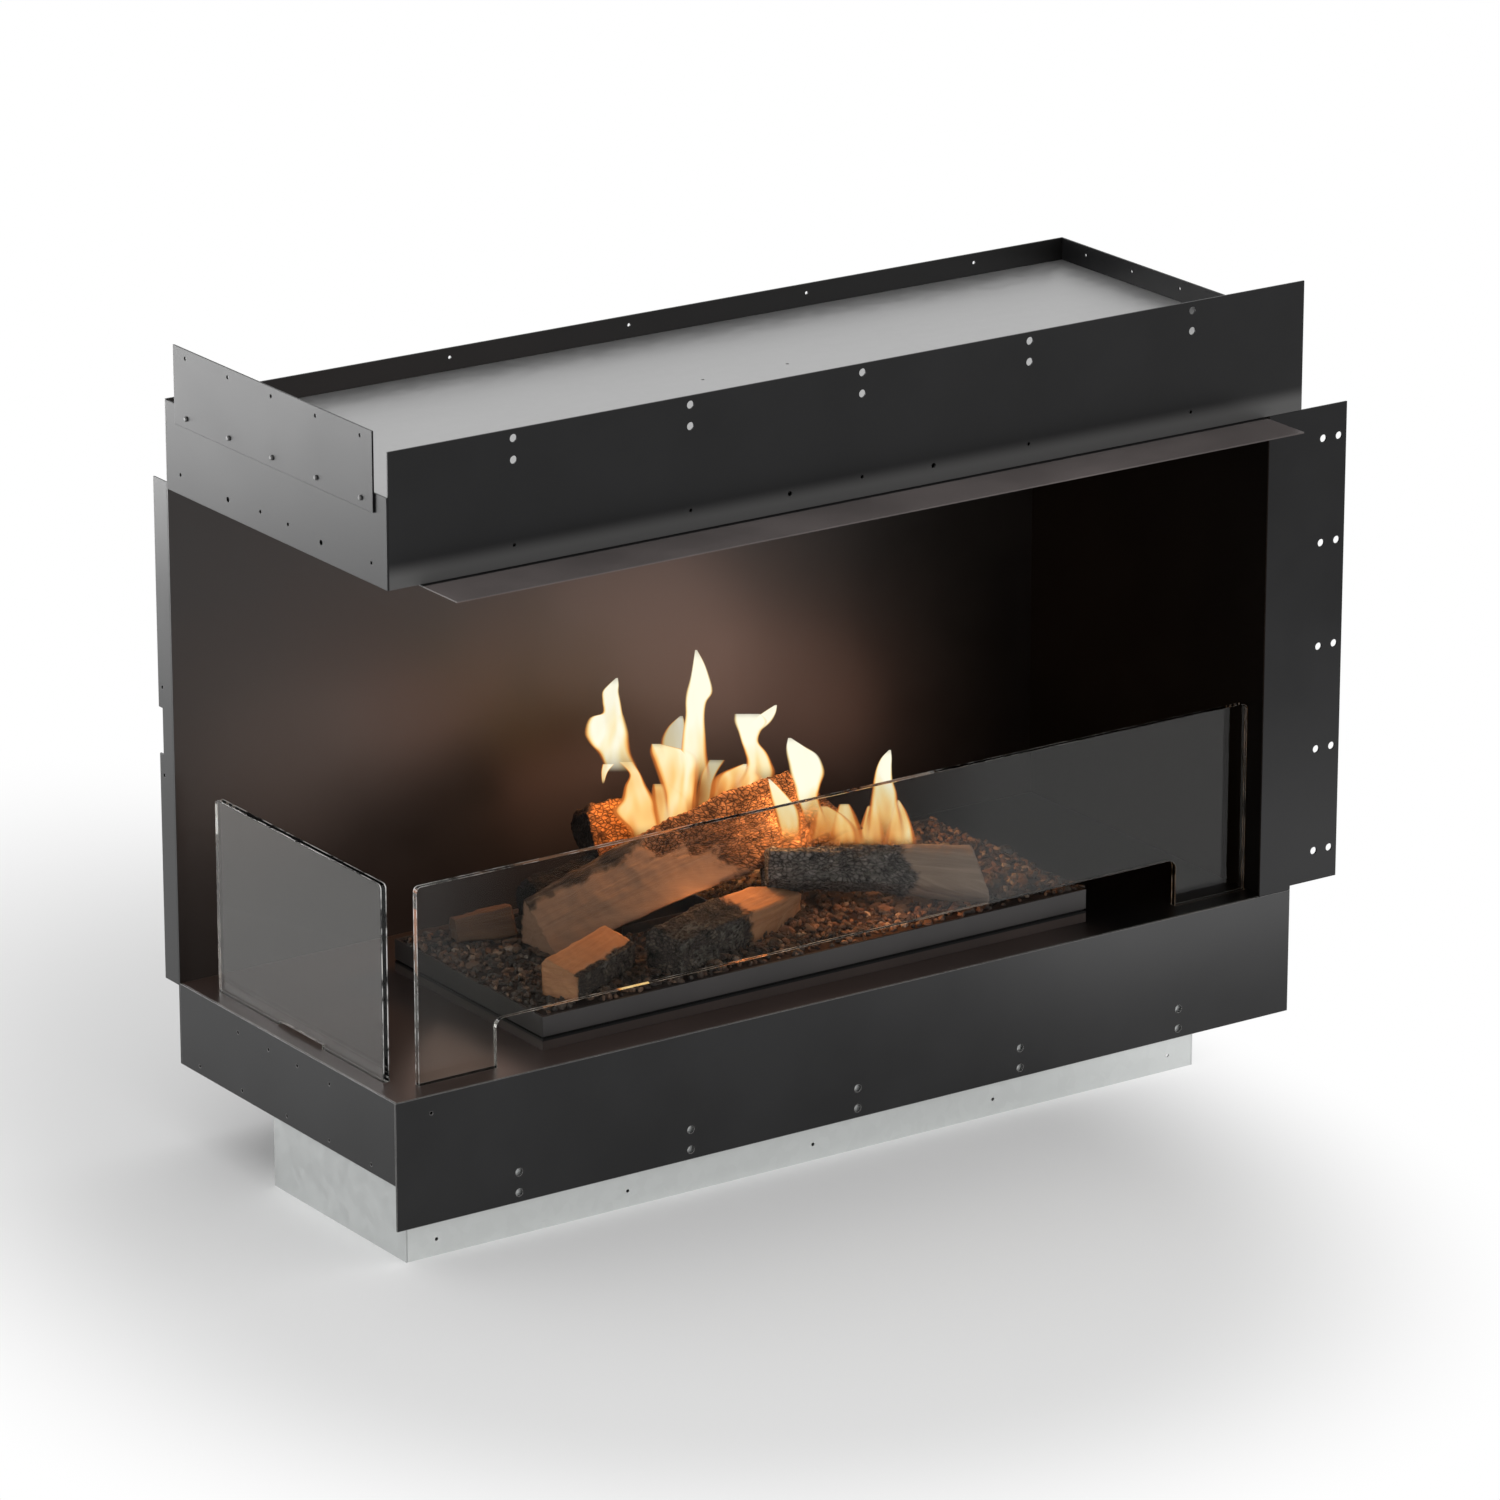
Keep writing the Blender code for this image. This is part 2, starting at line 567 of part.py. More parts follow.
def channel_section(left, width, low, high):
    """A channel on its side: a web at the left and two lips towards the right."""
    wall = LIGHT_SHEET
    return [(left, low), (left + width, low), (left + width, low + wall), (left + wall, low + wall),
            (left + wall, high - wall), (left + width, high - wall), (left + width, high), (left, high)]


def leg_spans():
    """Where the panes' legs stand: along X for the front pane, along Y for the left pane."""
    front_end = FRONT_GLASS_LEFT + FRONT_GLASS_LENGTH
    notch = LEFT_GLASS_FRONT + NOTCH_IN_GLASS_START
    front = ((FRONT_GLASS_LEFT, CUTOUT_START), (CUTOUT_END, front_end))
    left = ((LEFT_GLASS_FRONT, notch), (notch + NOTCH_IN_GLASS_LENGTH, LEFT_GLASS_FRONT + LEFT_GLASS_LENGTH))
    return front, left


def hearth(black):
    """Hearth plate, with slots for the panes' legs and an opening for the fuel tank."""
    front, left = leg_spans()
    slots = []
    for start, end in front:
        slots.append(rectangle((start - GLASS_CLEARANCE, FRONT_GLASS_FACE - GLASS_CLEARANCE),
                               (end + GLASS_CLEARANCE, FRONT_GLASS_FACE + GLASS + GLASS_CLEARANCE)))
    for start, end in left:
        slots.append(rectangle((LEFT_GLASS_FACE - GLASS_CLEARANCE, start - GLASS_CLEARANCE),
                               (LEFT_GLASS_FACE + GLASS + GLASS_CLEARANCE, end + GLASS_CLEARANCE)))
    half = TANK_WIDTH / 2 + TANK_CLEARANCE
    tank = rectangle((TANK_START - TANK_CLEARANCE, SLOT_LINE - half), (TANK_STOP + TANK_CLEARANCE, SLOT_LINE + half))
    sheet("hearth_plate", "XY", [rectangle((INSIDE_START, INSIDE_START), (INSIDE_RIGHT, INSIDE_BACK)),
                                 *slots, tank], HEARTH_BOTTOM, SHEET, black)


def walls(black, board):
    """Back wall, right wall with its liner and insulation, and the two fixing flanges."""
    rim = WALL_TOP - RIM_HOLE_DROP
    sheet("back_wall", "XZ", [rectangle((0, SIDE_BOTTOM), (CASE_WIDTH, WALL_TOP)),
                              *[small_hole((CASE_WIDTH * share, rim)) for share in RIM_HOLE_SHARES]],
          BACK_IN, SHEET, black)
    sheet("right_wall", "YZ", [rectangle((INSIDE_START, SIDE_BOTTOM), (INSIDE_BACK, WALL_TOP)),
                               *[small_hole((CASE_DEPTH * share, rim)) for share in RIM_HOLE_SHARES]],
          RIGHT_IN, SHEET, black)
    top = CEILING_BOTTOM - GAP
    sheet("right_liner", "YZ", [rectangle((INSIDE_START, ON_HEARTH), (INSIDE_BACK, top))], LINER_FACE, SHEET, black)
    box("right_insulation", (LINER_FACE + SHEET + GAP, INSIDE_START, ON_HEARTH), (INSIDE_RIGHT, INSIDE_BACK, top),
        board)
    outer = FLANGE_OUTER - FLANGE_HOLE_OUT
    holes = [circle((x, HOOD_BOTTOM - FLANGE_HOLE_DROP - FLANGE_HOLE_PITCH * i), FIXING_HOLE_RADIUS,
                    FIXING_HOLE_SIDES)
             for i in range(FLANGE_HOLE_COUNT) for x in (outer, outer - FLANGE_HOLE_SPACING)]
    step = HEARTH_LEVEL + FLANGE_STEP_RISE
    outline = [(FLANGE_INNER, ON_HEARTH), (SKIRT_FRONT_WIDTH, ON_HEARTH), (SKIRT_FRONT_WIDTH, step),
               (FLANGE_OUTER, step), (FLANGE_OUTER, LEDGE_TOP), (FLANGE_INNER, LEDGE_TOP)]
    sheet("right_front_flange", "XZ", [outline, *holes], 0, SHEET, black)


def back_left_flange(black):
    """An angle on the back wall, whose free leg continues the left side."""
    start = CASE_DEPTH + GAP
    end = start + BACK_FLANGE_WIDTH
    section = [(0, start), (BACK_FLANGE_LEG, start), (BACK_FLANGE_LEG, start + SHEET), (SHEET, start + SHEET),
               (SHEET, end), (0, end)]
    flange = sheet("back_left_flange", "XY", [section], BACK_FLANGE_BOTTOM, BACK_FLANGE_TOP - BACK_FLANGE_BOTTOM,
                   black)
    notch = box_mesh("notch_tool", (-OVERRUN, end - NOTCH_DEPTH, NOTCH_BOTTOM),
                     (SHEET + OVERRUN, end + OVERRUN, NOTCH_BOTTOM + NOTCH_HEIGHT))
    combine(flange, cutter("notch_tool", notch))
    places = [(0, end - NOTCH_HOLE_INSET, height) for height in
              (NOTCH_BOTTOM - NOTCH_HOLE_OFFSET, NOTCH_BOTTOM + NOTCH_HEIGHT + NOTCH_HOLE_OFFSET)]
    combine(flange, hole_tools("flange_hole_tools", places, SMALL_HOLE_RADIUS, INTO_LEFT))


def hood_plates(black):
    """Outer plates of the hood, the screwed upper flange and its screws."""
    pairs = []
    for i in range(PAIR_COUNT):
        x = HOOD_PAIR_FIRST + PAIR_PITCH * i
        for drop in (HOOD_PAIR_DROP, HOOD_PAIR_DROP + PAIR_SPACING):
            pairs.append(circle((x, HOOD_FRONT_TOP - drop), FIXING_HOLE_RADIUS, FIXING_HOLE_SIDES))
    small = [small_hole((HOOD_PAIR_FIRST + PAIR_PITCH * i, HOOD_BOTTOM + HOOD_ROW_RISE)) for i in range(PAIR_COUNT)]
    bold = [small_hole((CASE_WIDTH * share, HOOD_BOTTOM + HOOD_BOLD_RISE), BOLD_HOLE_RADIUS)
            for share in HOOD_BOLD_SHARES]
    sheet("hood_front_plate", "XZ", [rectangle((INSIDE_START, HOOD_BOTTOM), (CASE_WIDTH, HOOD_FRONT_TOP)),
                                     *pairs, *small, *bold], 0, SHEET, black)
    places = [UPPER_FLANGE_START + UPPER_FLANGE_LENGTH * share for share in UPPER_FLANGE_HOLE_SHARES]
    row = UPPER_FLANGE_BOTTOM + UPPER_FLANGE_SCREW_RISE
    screw_holes = [small_hole((y, row), SCREW_HOLE_RADIUS) for y in places]
    small = [small_hole((CASE_DEPTH * share, HOOD_BOTTOM + HOOD_ROW_RISE)) for share in HOOD_LEFT_SMALL_SHARES]
    bold = [small_hole((CASE_DEPTH * share, HOOD_BOTTOM + HOOD_BOLD_RISE), BOLD_HOLE_RADIUS)
            for share in HOOD_LEFT_BOLD_SHARES]
    sheet("hood_left_plate", "YZ", [rectangle((0, HOOD_BOTTOM), (INSIDE_BACK, HOOD_LEFT_TOP)),
                                    *small, *bold, *screw_holes], 0, SHEET, black)
    top = UPPER_FLANGE_BOTTOM + UPPER_FLANGE_HEIGHT
    upper = [small_hole((y, top - UPPER_FLANGE_HOLE_DROP), UPPER_FLANGE_HOLE_RADIUS) for y in places]
    outline = rectangle((UPPER_FLANGE_START, UPPER_FLANGE_BOTTOM), (UPPER_FLANGE_START + UPPER_FLANGE_LENGTH, top))
    sheet("hood_upper_flange", "YZ", [outline, *upper, *screw_holes], -GAP - SHEET, SHEET, black)
    for number, y in enumerate(places, 1):
        name = f"hood_flange_screw_{number}"
        keep(name, screw_mesh(name), black, Matrix.Translation((-GAP - SHEET - GAP, y, row)) @ INTO_LEFT)
    edge = INSIDE_START + LIGHT_SHEET
    reach = INSIDE_START + ANGLE_LEG
    angle = [(INSIDE_START, INSIDE_START), (reach, INSIDE_START), (reach, edge), (edge, edge), (edge, reach),
             (INSIDE_START, reach)]
    low = CEILING_TOP + GAP
    sheet("hood_corner_angle", "XY", [angle], low, COVER_BOTTOM - GAP - low, black)


def board_ledge(black):
    """Angle behind the front hood plate, whose long leg reaches forward under the plate."""
    low = LEDGE_TOP - LIGHT_SHEET
    section = [(-LEDGE_REACH, low), (LEDGE_BACK, low), (LEDGE_BACK, low + LEDGE_LEG),
               (INSIDE_START, low + LEDGE_LEG), (INSIDE_START, LEDGE_TOP), (-LEDGE_REACH, LEDGE_TOP)]
    ledge = sheet("board_ledge", "YZ", [section], LEDGE_START, LEDGE_LENGTH, black)
    for_small = [(HOOD_PAIR_FIRST + PAIR_PITCH * i, 0, HOOD_BOTTOM + HOOD_ROW_RISE) for i in range(PAIR_COUNT)]
    combine(ledge, hole_tools("ledge_small_tools", for_small, SMALL_HOLE_RADIUS, INTO_FRONT))
    for_bold = [(CASE_WIDTH * share, 0, HOOD_BOTTOM + HOOD_BOLD_RISE) for share in HOOD_BOLD_SHARES]
    combine(ledge, hole_tools("ledge_bold_tools", for_bold, BOLD_HOLE_RADIUS, INTO_FRONT))


def hood_inside(black, bright, board):
    """Ceiling over the fire, its insulation, and the top cover with its bearers and rib."""
    sheet("ceiling_plate", "XY", [rectangle((INSIDE_START, LEDGE_BACK + GAP), (INSIDE_RIGHT, INSIDE_BACK))],
          CEILING_BOTTOM, SHEET, black)
    low = CEILING_TOP + GAP
    high = COVER_BOTTOM - GAP
    start = INSIDE_START + ANGLE_LEG + GAP
    box("ceiling_insulation", (start, start, low), (INSIDE_RIGHT, INSIDE_BACK, low + INSULATION_THICKNESS), board)
    line = COVER_RIB_LINE + RIB_WIDTH / 2
    screws = [(CASE_WIDTH * share, line) for share in COVER_SCREW_SHARES]
    sheet("top_cover", "XY", [rectangle((INSIDE_START, INSIDE_START), (INSIDE_RIGHT, INSIDE_BACK)),
                              *[small_hole(place) for place in screws]], COVER_BOTTOM, SHEET, bright)
    section = channel_section(COVER_RIB_LINE, RIB_WIDTH, high - COVER_RIB_HEIGHT, high)
    rib = sheet("cover_rib", "YZ", [section], INSIDE_START, INSIDE_RIGHT - INSIDE_START, bright)
    combine(rib, hole_tools("cover_rib_tools", [(x, y, high) for x, y in screws], SMALL_HOLE_RADIUS, Matrix()))
    wall = LIGHT_SHEET
    for name, edge, side in (("cover_bearer_front", INSIDE_START, 1), ("cover_bearer_back", INSIDE_BACK, -1)):
        reach, inner = edge + side * ANGLE_LEG, edge + side * wall
        section = [(edge, high - ANGLE_LEG), (inner, high - ANGLE_LEG), (inner, high - wall),
                   (reach, high - wall), (reach, high), (edge, high)]
        sheet(name, "YZ", [section], start, INSIDE_RIGHT - start, bright)


def glass_panes(glass):
    """Two loose panes of toughened glass: the front one has a long cut-out below."""
    right = FRONT_GLASS_LEFT + FRONT_GLASS_LENGTH
    rise = HEARTH_LEVEL + CUTOUT_RISE
    corners = [(FRONT_GLASS_LEFT, GLASS_BOTTOM), (CUTOUT_START, GLASS_BOTTOM), (CUTOUT_START, rise),
               (CUTOUT_END, rise), (CUTOUT_END, GLASS_BOTTOM), (right, GLASS_BOTTOM), (right, GLASS_TOP),
               (FRONT_GLASS_LEFT, GLASS_TOP)]
    radii = [0, 0, CUTOUT_CORNER, CUTOUT_CORNER, 0, 0, GLASS_CORNER, GLASS_CORNER]
    front = sheet("front_glass", "XZ", [rounded(corners, radii)], FRONT_GLASS_FACE, GLASS, glass)
    back = LEFT_GLASS_FRONT + LEFT_GLASS_LENGTH
    notch = LEFT_GLASS_FRONT + NOTCH_IN_GLASS_START
    notch_top = HEARTH_LEVEL + NOTCH_IN_GLASS_RISE
    corners = [(LEFT_GLASS_FRONT, GLASS_BOTTOM), (notch, GLASS_BOTTOM), (notch, notch_top),
               (notch + NOTCH_IN_GLASS_LENGTH, notch_top), (notch + NOTCH_IN_GLASS_LENGTH, GLASS_BOTTOM),
               (back, GLASS_BOTTOM), (back, GLASS_TOP), (LEFT_GLASS_FRONT, GLASS_TOP)]
    radii = [0, 0, 0, 0, 0, 0, GLASS_CORNER, GLASS_CORNER]
    left = sheet("left_glass", "YZ", [rounded(corners, radii)], LEFT_GLASS_FACE, GLASS, glass)
    for pane in (front, left):
        edge = pane.modifiers.new("polished_edge", "BEVEL")
        edge.width = GLASS_EDGE_BEVEL
        edge.segments = 1
        edge.limit_method = "ANGLE"
        edge.angle_limit = math.radians(40)


def glass_seats(black, pad):
    """Channels under the hearth that hold the panes' legs, and the pads that the legs stand on."""
    front, left = leg_spans()
    low = CHANNEL_BOTTOM
    high = HEARTH_BOTTOM - GAP
    floor = low + CHANNEL_WALL

    def section(face):
        inner = face - GLASS_CLEARANCE
        outer = face + GLASS + GLASS_CLEARANCE
        return [(inner - CHANNEL_WALL, low), (outer + CHANNEL_WALL, low), (outer + CHANNEL_WALL, high),
                (outer, high), (outer, floor), (inner, floor), (inner, high), (inner - CHANNEL_WALL, high)]

    start, end = front[0][0] - CHANNEL_END, front[-1][1] + CHANNEL_END
    sheet("front_glass_channel", "YZ", [section(FRONT_GLASS_FACE)], start, end - start, black)
    box("front_glass_pad", (start, FRONT_GLASS_FACE, PAD_BOTTOM), (end, FRONT_GLASS_FACE + GLASS, PAD_TOP), pad)
    start, end = left[0][0] - CHANNEL_END, left[-1][1] + CHANNEL_END
    sheet("left_glass_channel", "XZ", [section(LEFT_GLASS_FACE)], start, end - start, black)
    box("left_glass_pad", (LEFT_GLASS_FACE, start, PAD_BOTTOM), (LEFT_GLASS_FACE + GLASS, end, PAD_TOP), pad)


def tray(black):
    """Burner tray on the hearth: foot wall with a shadow groove, rim band, and the deck under the chips."""
    def ring(inset):
        return rectangle((TRAY_LEFT + inset, TRAY_FRONT + inset), (TRAY_RIGHT - inset, TRAY_BACK - inset))

    outer = ring(0)
    foot_top = RIM_BOTTOM - GAP
    foot = sheet("tray_foot", "XY", [outer, ring(FOOT_WALL)], ON_HEARTH, foot_top - ON_HEARTH, black)
    groove = outline_mesh("groove_tool", [ring(-OVERRUN), ring(GROOVE_DEPTH)], GROOVE_HEIGHT + OVERRUN)
    middle = foot_top + (OVERRUN - GROOVE_HEIGHT) / 2
    combine(foot, cutter("groove_tool", groove, Matrix.Translation((0, 0, middle))))
    inner = rectangle((TRAY_IN_LEFT, TRAY_IN_FRONT), (TRAY_RIGHT - RIM_WALL, TRAY_BACK - RIM_WALL))
    rim = sheet("tray_rim", "XY", [outer, inner], RIM_BOTTOM, RIM_HEIGHT, black)
    hole = cylinder_mesh("rod_hole_tool", SHUTTER_ROD_RADIUS + GLASS_CLEARANCE, RIM_WALL + OVERRUN, FIXING_HOLE_SIDES)
    place = Matrix.Translation((TRAY_RIGHT - RIM_WALL / 2, SLOT_LINE, ROD_HEIGHT)) @ ALONG_X
    combine(rim, cutter("rod_hole_tool", hole, place))
    half = SLOT_WIDTH / 2
    slots = [rectangle((start, SLOT_LINE - half), (start + SLOT_LENGTH, SLOT_LINE + half))
             for start in (SLOT_FIRST, SLOT_SECOND)]
    sheet("burner_deck", "XY", [rectangle((TRAY_IN_LEFT + GAP, TRAY_IN_FRONT + GAP),
                                          (TRAY_RIGHT - RIM_WALL - GAP, TRAY_BACK - RIM_WALL - GAP)), *slots],
          DECK_BOTTOM, SHEET, black)


def collars(steel):
    """A raised frame round each flame slot, which keeps the chips out."""
    half = SLOT_WIDTH / 2
    for name, start in (("slot_collar_left", SLOT_FIRST), ("slot_collar_right", SLOT_SECOND)):
        inner = rectangle((start, SLOT_LINE - half), (start + SLOT_LENGTH, SLOT_LINE + half))
        outer = rectangle((start - COLLAR_WALL, SLOT_LINE - half - COLLAR_WALL),
                          (start + SLOT_LENGTH + COLLAR_WALL, SLOT_LINE + half + COLLAR_WALL))
        sheet(name, "XY", [outer, inner], DECK_TOP + GAP, COLLAR_HEIGHT, steel)


def fuel_tank(steel, fibre, black):
    """Fuel tank that hangs in the hearth's opening, its wadding, and the frame under its flange."""
    half = TANK_WIDTH / 2
    front, back = SLOT_LINE - half, SLOT_LINE + half
    tank = box("fuel_tank", (TANK_START, front, TANK_BOTTOM), (TANK_STOP, back, TANK_RIM), steel)
    flange = box_mesh("tank_flange_tool", (TANK_START - TANK_FLANGE, front - TANK_FLANGE, TANK_RIM - TANK_WALL),
                      (TANK_STOP + TANK_FLANGE, back + TANK_FLANGE, TANK_RIM))
    combine(tank, cutter("tank_flange_tool", flange), "UNION")
    hollow = box_mesh("tank_hollow_tool", (TANK_START + TANK_WALL, front + TANK_WALL, TANK_BOTTOM + TANK_WALL),
                      (TANK_STOP - TANK_WALL, back - TANK_WALL, TANK_RIM + OVERRUN))
    combine(tank, cutter("tank_hollow_tool", hollow))
    inset = TANK_WALL + WADDING_CLEARANCE
    bottom = TANK_BOTTOM + inset
    box("fuel_wadding", (TANK_START + inset, front + inset, bottom),
        (TANK_STOP - inset, back - inset, bottom + (TANK_RIM - TANK_BOTTOM) * WADDING_SHARE), fibre)
    outer = rectangle((TANK_START - TANK_FLANGE, front - TANK_FLANGE), (TANK_STOP + TANK_FLANGE, back + TANK_FLANGE))
    inner = rectangle((TANK_START - TANK_CLEARANCE, front - TANK_CLEARANCE),
                      (TANK_STOP + TANK_CLEARANCE, back + TANK_CLEARANCE))
    sheet("tank_frame", "XY", [outer, inner], ON_HEARTH, TANK_RIM - TANK_WALL - GAP - ON_HEARTH, black)


def shutter(steel, black):
    """Sliding shutter with a window for each slot, its two rails, and the rod and knob that move it."""
    half = SHUTTER_WIDTH / 2
    window = SLOT_WIDTH / 2 + SHUTTER_WINDOW_EXTRA
    windows = [rectangle((start, SLOT_LINE - window), (start + SLOT_LENGTH, SLOT_LINE + window))
               for start in (SLOT_FIRST, SLOT_SECOND)]
    sheet("shutter_plate", "XY", [rectangle((SHUTTER_START, SLOT_LINE - half), (SHUTTER_STOP, SLOT_LINE + half)),
                                  *windows], SHUTTER_BOTTOM, SHEET, steel)
    low = TANK_RIM + GAP
    ledge = SHUTTER_BOTTOM - GAP
    start = SHUTTER_START - SHUTTER_END
    end = TRAY_RIGHT - RIM_WALL - GAP
    for name, side in (("shutter_rail_front", -1), ("shutter_rail_back", 1)):
        inner = SLOT_LINE + side * (half + GAP)
        section = [(inner + side * RAIL_WEB, low), (inner - side * RAIL_LEDGE, low), (inner - side * RAIL_LEDGE, ledge),
                   (inner, ledge), (inner, SHUTTER_TOP), (inner + side * RAIL_WEB, SHUTTER_TOP)]
        sheet(name, "YZ", [section], start, end - start, steel)
    rod_start = SHUTTER_STOP - SHUTTER_ROD_LAP
    knob_start = TRAY_RIGHT + KNOB_STANDOFF
    rod_end = knob_start + KNOB_BORE_DEPTH - GAP
    rod = cylinder_mesh("shutter_rod", SHUTTER_ROD_RADIUS, rod_end - rod_start, FIXING_HOLE_SIDES)
    keep("shutter_rod", rod, steel,
         Matrix.Translation(((rod_start + rod_end) / 2, SLOT_LINE, ROD_HEIGHT)) @ ALONG_X)
    bore = SHUTTER_ROD_RADIUS + GAP
    knob = turned_mesh("shutter_knob", [
        (0, KNOB_LENGTH), (KNOB_RADIUS * 0.8, KNOB_LENGTH), (KNOB_RADIUS, KNOB_LENGTH * 0.85),
        (KNOB_RADIUS, KNOB_LENGTH * 0.55), (KNOB_RADIUS * 0.55, KNOB_LENGTH * 0.3), (KNOB_RADIUS * 0.6, 0),
        (bore, 0), (bore, KNOB_BORE_DEPTH), (0, KNOB_BORE_DEPTH)], FIXING_HOLE_SIDES)
    keep("shutter_knob", knob, black, Matrix.Translation((knob_start, SLOT_LINE, ROD_HEIGHT)) @ ALONG_X)


def chip_bed(chips):
    """Loose chips as one uneven bed on the deck, open round the collars."""
    low = (TRAY_IN_LEFT + BED_CLEARANCE, TRAY_IN_FRONT + BED_CLEARANCE)
    high = (TRAY_RIGHT - RIM_WALL - BED_CLEARANCE, TRAY_BACK - RIM_WALL - BED_CLEARANCE)
    room = COLLAR_WALL + BED_CLEARANCE
    half = SLOT_WIDTH / 2 + room
    gaps_x = [(start - room, start + SLOT_LENGTH + room) for start in (SLOT_FIRST, SLOT_SECOND)]
    lines_x = spread([low[0], *gaps_x[0], *gaps_x[1], high[0]])
    lines_y = spread([low[1], SLOT_LINE - half, SLOT_LINE + half, high[1]])
    bottom = DECK_TOP + GAP
    made = bmesh.new()
    rows = [[made.verts.new((x, y, bed_height(x, y))) for x in lines_x] for y in lines_y]
    tops = []
    for j, y in enumerate(lines_y[:-1]):
        for i, x in enumerate(lines_x[:-1]):
            middle = ((x + lines_x[i + 1]) / 2, (y + lines_y[j + 1]) / 2)
            inside = abs(middle[1] - SLOT_LINE) < half and any(a < middle[0] < b for a, b in gaps_x)
            if not inside:
                tops.append(made.faces.new((rows[j][i], rows[j][i + 1], rows[j + 1][i + 1], rows[j + 1][i])))
    bmesh.ops.delete(made, geom=[v for v in made.verts if not v.link_faces], context="VERTS")
    lower = bmesh.ops.extrude_face_region(made, geom=tops, use_keep_orig=True)
    for item in lower["geom"]:
        if isinstance(item, bmesh.types.BMVert):
            item.co.z = bottom
    keep("chip_bed", finish_mesh(made, "chip_bed"), chips)


def spread(stops):
    """Lines between the stops, no further apart than one cell."""
    lines = [stops[0]]
    for start, end in zip(stops, stops[1:]):
        count = max(1, round((end - start) / BED_CELL))
        lines += [start + (end - start) * (i + 1) / count for i in range(count)]
    return lines


def bed_height(x, y):
    """The uneven top of the bed, never above its highest level."""
    across, along = x / BED_CELL, y / BED_CELL
    wave = math.sin(2.1 * across + 0.7 * along) * math.cos(1.7 * along - 0.4 * across)
    return BED_TOP - BED_RELIEF * (0.5 - 0.5 * wave)


def log_ring(radius, width, roll, cuts):
    """One cross-section: a circle with flat split faces, as points across and up."""
    points = []
    for i in range(LOG_SIDES):
        angle = 2 * math.pi * i / LOG_SIDES
        reach = 1.0
        for direction, share in cuts:
            facing = math.cos(angle - math.radians(direction))
            if facing > 0:
                reach = min(reach, share / facing)
        across = radius * reach * width * math.cos(angle)
        up = radius * reach * math.sin(angle)
        turn = math.radians(roll)
        points.append((across * math.cos(turn) - up * math.sin(turn), across * math.sin(turn) + up * math.cos(turn)))
    return points


def log(entry, finish):
    """One ceramic log: cross-sections from its near end to its far end, seated on the bed."""
    name, near, far, near_size, far_size, width, bend, roll, cuts = entry

    def seat(end, size):
        ring = log_ring(LOG_RADIUS * size, width, roll, cuts)
        lowest = min(up for _, up in ring)
        return Vector((TRAY_LEFT + TRAY_LENGTH * end[0], TRAY_FRONT + TRAY_DEPTH * end[1],
                       BED_TOP + GAP + LOG_RADIUS * end[2] - lowest * (1 + LOG_WAVE_SHARE)))

    start, end = seat(near, near_size), seat(far, far_size)
    along = (end - start).normalized()
    side = along.cross(Vector((0, 0, 1))).normalized()
    top = side.cross(along)
    made = bmesh.new()
    rings = []
    for station in range(LOG_STATIONS):
        share = station / (LOG_STATIONS - 1)
        size = near_size + (far_size - near_size) * share
        size *= 1 + LOG_WAVE_SHARE * math.sin(5 * share + 3 * near[0])
        middle = start.lerp(end, share) + top * LOG_RADIUS * bend * math.sin(math.pi * share)
        ring = log_ring(LOG_RADIUS * size, width, roll, cuts)
        rings.append([made.verts.new(middle + side * across + top * up) for across, up in ring])
    for first, second in zip(rings, rings[1:]):
        for i in range(LOG_SIDES):
            after = (i + 1) % LOG_SIDES
            made.faces.new((first[i], first[after], second[after], second[i]))
    made.faces.new(rings[0])
    made.faces.new(list(reversed(rings[-1])))
    return keep(name, finish_mesh(made, name), finish)


def clear_scene():
    """Removes whatever the file holds already."""
    for old in list(bpy.data.objects):
        bpy.data.objects.remove(old)


def main():
    clear_scene()
    scene = bpy.context.scene
    Parts["collection"] = bpy.data.collections.new("corner_fireplace")
    Parts["cutters"] = bpy.data.collections.new("corner_fireplace_cutters")
    scene.collection.children.link(Parts["collection"])
    scene.collection.children.link(Parts["cutters"])
    corner = bpy.data.objects.new("casing_corner", None)
    corner.location = (-MIDDLE_X, -MIDDLE_Y, 0)
    Parts["collection"].objects.link(corner)
    Parts["corner"] = corner

    black = material("black_powder_coat", (0.022, 0.022, 0.023), 0.45)
    bright = material("galvanised_steel", (0.55, 0.56, 0.56), 0.4, 0.9)
    steel = material("stainless_steel", (0.42, 0.42, 0.42), 0.3, 1.0)
    glass = material("toughened_glass", (0.8, 0.86, 0.85), 0.02, 0.0, 0.25)
    fibre = material("ceramic_fibre", (0.8, 0.8, 0.76), 0.95)
    board = material("insulation_board", (0.62, 0.6, 0.55), 0.95)
    pad = material("seat_pad", (0.03, 0.03, 0.03), 0.9)
    chips = material("ceramic_chips", (0.05, 0.03, 0.02), 0.85)
    bark = material("ceramic_log", (0.16, 0.09, 0.05), 0.85)

    plinth(bright)
    skirt(black)
    base(black, bright)
    hearth(black)
    walls(black, board)
    back_left_flange(black)
    hood_plates(black)
    board_ledge(black)
    hood_inside(black, bright, board)
    glass_panes(glass)
    glass_seats(black, pad)
    tray(black)
    collars(steel)
    fuel_tank(steel, fibre, black)
    shutter(steel, black)
    chip_bed(chips)
    for entry in LOG_SHARES:
        log(entry, bark)


main()
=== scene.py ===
"""Looks of the corner fireplace: finishes, glass, ceramic logs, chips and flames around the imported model.

Lengths are in metres and angles in degrees. Places are given from the casing's front left corner at floor
level.
"""

import json
import random
from math import cos, degrees, pi, radians, sin

import bmesh
import bpy
from mathutils import Euler, Matrix, Vector, noise


